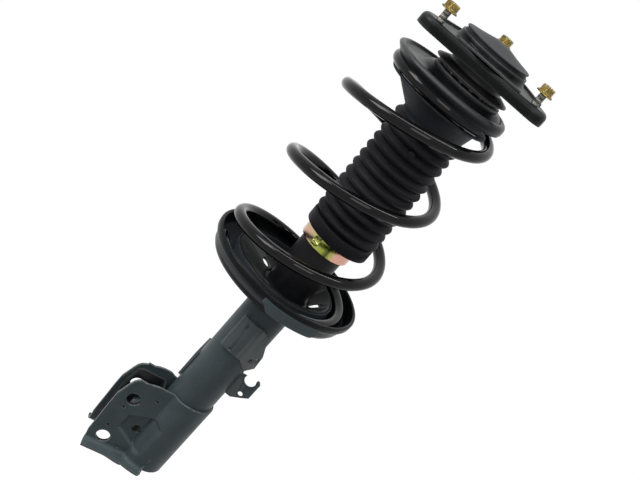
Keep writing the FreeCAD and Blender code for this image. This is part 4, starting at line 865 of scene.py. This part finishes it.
def make_lower_insulator():
    """Rubber bed in the seat's channel, with a lip up the inner ridge."""
    ridge, floor, top = 60.6, -318.35, -315.7
    bed = turned("lower_insulator_rubber", [
        (ridge, floor), (78.2, floor), (81.2, -316.9), (83.2, -314.3), (83.9, top + 3.4), (82.8, top + 4.0),
        (81.2, top + 1.9), (78.6, top), (ridge + 7.0, top), (ridge + 3.4, top + 1.4),
        (ridge + 2.2, top + 4.0), (ridge + 1.6, -303.9), (ridge + 0.9, -303.4), (ridge, -303.9)])
    moved(bed, lambda x, y, z: (x + LOW_SHIFT, y, z))
    fit(shade(bed, 45), "lower_spring_insulator", PAD_RUBBER)


# Knuckle bracket

# The section in millimetres: flat ears, a fold at each, and a sleeve round the tube
EAR_ROOT = -21.5
EAR_LONG = 49.0
EAR_MIDDLE = 16.5
FAR_RISE = 3.5
FAR_RISE_RUN = 14
FOLD_PULL = 3.4
FOLD_RUN = 6.4
SLEEVE_MIDDLE = 27.0
SLEEVE_MEET = math.radians(124)
SLEEVE_FOOT = -592.0
EAR_OUT = Vector((0, -1))
FOLD_OUT = Vector((-0.56, -0.83))

# Shares of the sheet's half width where the ear ends and where the fold ends
EAR_END = 0.5
FOLD_END = 0.6

# The turned-out foot stands out more at the ear's root, and less round the sleeve, where it fades out
FOOT_REACH = 12.5
FOOT_EXTRA = 3.5
FOOT_EXTRA_FROM = -45.0
FOOT_LESS = 2.5

# Its bend, the share of the sheet's height above the bend, and the bend's share of what is below
BEND_RADIUS = 7.0
BEND_TURN = math.radians(80)
BEND_START = 0.84
BEND_SHARE = 0.55

# The ear's free edge by height, its top and the foot's bend by X, and the recess's corners in X and Z
EAR_EDGE = [(-599.0, -67.6), (-593.4, -70.4), (-588.0, -71.6), (-558.5, -72.2), (-540.5, -72.7),
            (-526.9, -72.5), (-511.1, -68.6), (-504.5, -66.4), (-500.5, -63.6), (-498.4, -60.4),
            (-497.0, -57.5)]
EAR_TOP = [(-60.5, -498.4), (-57.0, -496.9), (-53.0, -495.8), (-45.2, -494.3), (-20.6, -492.6), (0.0, -490.5)]
EAR_BEND = [(-72.0, -594.1), (-62.0, -593.0), (-21.0, -588.0), (0.0, -587.0)]
RECESS = [(-47.5, -543.5), (-16.3, -528.0), (-5.5, -534.0), (-7.6, -578.3), (-14.6, -582.2), (-48.5, -565.2)]
RECESS_WALL = 5.0
RECESS_FLOOR = 11.0


def recess_share(x, z):
    """How far a point of the ear belongs to the pressed recess: 1 on its floor, 0 outside its walls."""
    depths = []
    for (start_x, start_z), (end_x, end_z) in zip(RECESS, RECESS[1:] + RECESS[:1]):
        run_x, run_z = end_x - start_x, end_z - start_z
        across = run_z * (x - start_x) - run_x * (z - start_z)
        depths.append(across / math.hypot(run_x, run_z))
    return smooth(min(depths) / RECESS_WALL)


def pressed_in(x, y, z):
    """Distance of an ear's point from the middle: the recess has a flat floor that stops at the tube."""
    floor, clear = RECESS_FLOOR, TUBE_RADIUS - 1.0
    if -clear < x < 0:
        floor = max(floor, math.sqrt(clear * clear - x * x))
    if floor > y:
        return y
    return y + (floor - y) * recess_share(x, z)


def ear_column(along):
    """X, Y and outward direction of a column of the ear, its foot's reach, and how much foot it has."""
    x = EAR_ROOT - EAR_LONG * along
    extra = FOOT_EXTRA * smooth((x - FOOT_EXTRA_FROM) / (EAR_ROOT - FOOT_EXTRA_FROM))
    return x, -EAR_MIDDLE, EAR_OUT, FOOT_REACH + extra, 1.0


def fold_column(along):
    """The same for a column of the fold, a smooth curve from the ear to the sleeve."""
    start = Vector((EAR_ROOT, -EAR_MIDDLE))
    end = Vector((SLEEVE_MIDDLE * math.cos(SLEEVE_MEET), -SLEEVE_MIDDLE * math.sin(SLEEVE_MEET)))
    first = start + Vector((FOLD_PULL, 0))
    second = end - Vector((math.sin(SLEEVE_MEET), math.cos(SLEEVE_MEET))) * FOLD_PULL
    left = 1 - along
    spot = (start * left ** 3 + first * 3 * along * left ** 2 + second * 3 * along ** 2 * left
            + end * along ** 3)
    turn = min((spot.x - EAR_ROOT) / FOLD_RUN, 1.0)
    out = (EAR_OUT + (FOLD_OUT - EAR_OUT) * turn).normalized()
    return spot.x, spot.y, out, FOOT_REACH + FOOT_EXTRA * (1 - turn), 1.0


def sleeve_column(along):
    """The same for a column of the sleeve, where the foot fades out behind the fold."""
    less_from, less_run, fade_end, fade_run = -140, 40, -83.0, 3.5
    angle = math.degrees(SLEEVE_MEET) * (along - 1)
    x, y = around(SLEEVE_MIDDLE, angle)
    reach = FOOT_REACH - FOOT_LESS * smooth((angle - less_from) / less_run)
    return x, y, Vector((x, y)).normalized(), reach, smooth((fade_end - angle) / fade_run)


def turned_out(down, top, bend, reach):
    """Height of a point of the sheet and how far it stands out: plain down to the bend, then the foot."""
    if down <= BEND_START:
        return top + (bend - top) * down / BEND_START, 0.0
    run = (down - BEND_START) / (1 - BEND_START)
    arc = min(run / BEND_SHARE, 1.0) * BEND_TURN
    flat_long = (reach - BEND_RADIUS * (1 - math.cos(BEND_TURN))) / math.sin(BEND_TURN)
    flat = max(run - BEND_SHARE, 0) / (1 - BEND_SHARE) * flat_long
    height = bend - BEND_RADIUS * math.sin(arc) - flat * math.cos(BEND_TURN)
    return height, BEND_RADIUS * (1 - math.cos(arc)) + flat * math.sin(BEND_TURN)


def bracket_spot(across, down):
    """A point of the bracket's sheet, across from ear to ear and down from its top to the foot's edge."""
    side = 1 if across > 0.5 else -1
    part = min(across, 1 - across) * 2
    along = 1 - part / EAR_END
    if part < EAR_END:
        x, y, out, reach, foot = ear_column(along)
    elif part < FOLD_END:
        x, y, out, reach, foot = fold_column((part - EAR_END) / (FOLD_END - EAR_END))
    else:
        x, y, out, reach, foot = sleeve_column((part - FOLD_END) / (1 - FOLD_END))
    top, bend = follow(EAR_TOP, x), follow(EAR_BEND, x)
    if side > 0:
        top += FAR_RISE * smooth((EAR_ROOT - x) / FAR_RISE_RUN)
    height, aside = turned_out(down, top, bend, reach)
    plain = top + (SLEEVE_FOOT - top) * down
    height = plain + (height - plain) * foot
    if part < EAR_END:
        x = EAR_ROOT + (follow(EAR_EDGE, max(height, bend)) - EAR_ROOT) * along
    x, y = x + out.x * aside * foot, y + out.y * aside * foot
    if down <= BEND_START:
        y = -pressed_in(x, -y, height)
    return x, y * -side, height


def make_bracket():
    """Knuckle bracket: a sleeve round the tube that opens into two flat ears with turned-out feet."""
    bracket = pressed_sheet("knuckle_bracket_pressing", 216, 124, bracket_spot)
    modify(bracket, "SOLIDIFY", thickness=3.0 * MM, offset=0.0)
    faces_out(bracket)
    bolt, pin, gauge, through = 8.25, 5.6, 1.7, 40
    pegs = []
    for x, z, radius in ((-53.5, -524.5, bolt), (-53.5, -585.5, bolt), (-27.5, -559.0, pin),
                         (-31.0, -511.5, gauge), (-57.0, -539.0, gauge), (-57.5, -569.0, gauge),
                         (-32.5, -588.0, gauge)):
        sides = 20 if radius == gauge else 48
        pegs.append(peg("ear_hole", radius, (x, -through, z), (x, through, z), sides))
    cut_away(bracket, joined("ear_holes", pegs), "MANIFOLD")
    break_edges(bracket, 0.35, angle=50)
    fit(shade(bracket, 35), "knuckle_bracket", TUBE_COAT)
    # The brace takes the black seat coat as painted shade: the space between the ears reads black.
    fit(softened("bracket_brace", 0.4), "bracket_brace", SEAT_COAT)


# Damper tube and its small brackets

def make_tube():
    """Damper tube, its end cap, and the damper's inner pieces."""
    low, high = span("damper_tube")
    wall, closed = 2.3, 2.5
    inside = TUBE_RADIUS - wall
    tube = turned("damper_tube_drawn", [
        (inside, low), (TUBE_RADIUS, low), (TUBE_RADIUS, high - 0.8), (TUBE_RADIUS - 0.8, high), (20, high),
        (20, high - closed), (inside, high - closed)])
    # The tube's coat carries painted shade inside the spring and inside the bracket.
    fit(shade(break_edges(tube, 0.3)), "damper_tube", tube_coat())
    for node, finish in (("pressure_tube", PLAIN_STEEL), ("base_valve", PLAIN_STEEL),
                         ("rod_guide", PLAIN_STEEL), ("rebound_stop", PLAIN_STEEL), ("piston", PLAIN_STEEL),
                         ("piston_ring", SLIP_RING), ("piston_nut", PLAIN_STEEL),
                         ("tube_end_cap", TUBE_COAT), ("rod_seal", DARK_RUBBER), ("piston_rod", CHROME)):
        fit(softened(node, 0.3), node, finish)


def make_small_brackets():
    """Hose bracket with two punch marks on its face, clip bracket and link bracket."""
    face = softened("hose_bracket", 0.5, 3)
    floor, clear = 29.8, 34
    marks = []
    for angle, height in ((-116.6, -369.3), (-114.3, -400.9)):
        start, end = (*around(floor, angle), height), (*around(clear, angle), height)
        marks.append(peg("punch_mark", 1.4, start, end, 16))
    cut_away(face, joined("punch_marks", marks), "MANIFOLD")
    fit(shade(face), "hose_bracket", TUBE_COAT)
    for node in ("clip_bracket", "link_bracket"):
        fit(softened(node, 0.5, 3), node, TUBE_COAT)


make_mount_plate()
make_studs()
make_nuts()
make_dust_cap()
make_inner_mount()
make_bearing()
make_bump_stop()
make_upper_seat()
make_upper_insulator()
make_boot()
make_spring()
make_strike_cap()
make_lower_seat()
make_lower_insulator()
make_bracket()
make_tube()
make_small_brackets()


# Camera, floor and light

# The camera as fitted to the photograph, in metres, degrees and millimetres
CAMERA_PLACE = (-0.336358, -0.977253, 0.111001)
CAMERA_TURN = (64.81866, -38.63349, -2.19884)
CAMERA_LENS = 59.0795
CAMERA_SENSOR = 36.0

# What the lamps face, and the floor below the part, in metres
PART_MIDDLE = (0, 0, -0.3)
FLOOR_HEIGHT = -1.6
FLOOR_SIZE = 80


def make_camera():
    """Camera at the photograph's viewing angle."""
    data = bpy.data.cameras.new("photo_camera")
    data.sensor_width = CAMERA_SENSOR
    data.lens = CAMERA_LENS
    camera = bpy.data.objects.new("photo_camera", data)
    camera.location = CAMERA_PLACE
    camera.rotation_euler = [math.radians(angle) for angle in CAMERA_TURN]
    bpy.context.collection.objects.link(camera)
    bpy.context.scene.camera = camera


def seen_rays(tree):
    """One where a camera, mirror or glass ray arrives, else nought."""
    path = tree.nodes.new("ShaderNodeLightPath")
    total = path.outputs["Is Camera Ray"]
    for name in ("Is Glossy Ray", "Is Transmission Ray"):
        step = tree.nodes.new("ShaderNodeMath")
        step.operation = "MAXIMUM"
        tree.links.new(total, step.inputs[0])
        tree.links.new(path.outputs[name], step.inputs[1])
        total = step.outputs[0]
    return total


def make_world():
    """White to the eye, a soft grey light on the part."""
    sky, sky_strength, white, white_strength = (0.96, 0.98, 1.0, 1), 0.12, (1, 1, 1, 1), 1.0
    world = bpy.data.worlds.new("studio")
    world.use_nodes = True
    bpy.context.scene.world = world
    tree = world.node_tree
    tree.nodes.clear()
    mix = tree.nodes.new("ShaderNodeMixShader")
    tree.links.new(seen_rays(tree), mix.inputs["Fac"])
    for slot, colour, strength in ((1, sky, sky_strength), (2, white, white_strength)):
        light = tree.nodes.new("ShaderNodeBackground")
        light.inputs["Color"].default_value = colour
        light.inputs["Strength"].default_value = strength
        tree.links.new(light.outputs[0], mix.inputs[slot])
    output = tree.nodes.new("ShaderNodeOutputWorld")
    tree.links.new(mix.outputs[0], output.inputs["Surface"])


def make_floor():
    """Pale floor well below the hanging part; it looks white and keeps the part's shadow."""
    paint_colour, glow_colour = (0.16, 0.16, 0.16, 1), (0.985, 0.985, 0.985, 1)
    bpy.ops.object.select_all(action="DESELECT")
    bpy.ops.mesh.primitive_plane_add(size=FLOOR_SIZE, location=(0, 0, FLOOR_HEIGHT))
    floor = added("studio_floor")
    material = bpy.data.materials.new("pale_floor")
    material.use_nodes = True
    tree = material.node_tree
    tree.nodes.clear()
    diffuse = tree.nodes.new("ShaderNodeBsdfDiffuse")
    diffuse.inputs["Color"].default_value = paint_colour
    glow = tree.nodes.new("ShaderNodeEmission")
    tree.links.new(seen_rays(tree), glow.inputs["Strength"])
    glow.inputs["Color"].default_value = glow_colour
    total = tree.nodes.new("ShaderNodeAddShader")
    tree.links.new(diffuse.outputs[0], total.inputs[0])
    tree.links.new(glow.outputs[0], total.inputs[1])
    output = tree.nodes.new("ShaderNodeOutputMaterial")
    tree.links.new(total.outputs[0], output.inputs["Surface"])
    paint(floor, material)


def add_lamp(name, place, size, power, width=None, along=(1, 0, 0)):
    """A soft lamp that faces the middle of the part: square, or a strip laid along a direction."""
    data = bpy.data.lights.new(name, "AREA")
    data.shape = "RECTANGLE"
    data.size = size
    data.size_y = width or size
    data.energy = power
    lamp = bpy.data.objects.new(name, data)
    lamp.location = place
    facing = (Vector(place) - Vector(PART_MIDDLE)).normalized()
    side = Vector(along)
    side = (side - facing * side.dot(facing)).normalized()
    turn = Matrix((side, facing.cross(side), facing)).transposed()
    lamp.rotation_euler = turn.to_euler()
    bpy.context.collection.objects.link(lamp)


make_camera()
make_world()
make_floor()
add_lamp("key_lamp", (-2.0, -0.3, 1.0), 1.1, 40)
add_lamp("strip_lamp", (-0.13, -0.38, 1.86), 3.6, 42, 0.2, (0.948, -0.318, 0))
add_lamp("front_lamp", (-0.3, -2.2, 1.0), 1.2, 18)

bpy.context.scene.view_settings.view_transform = "Standard"
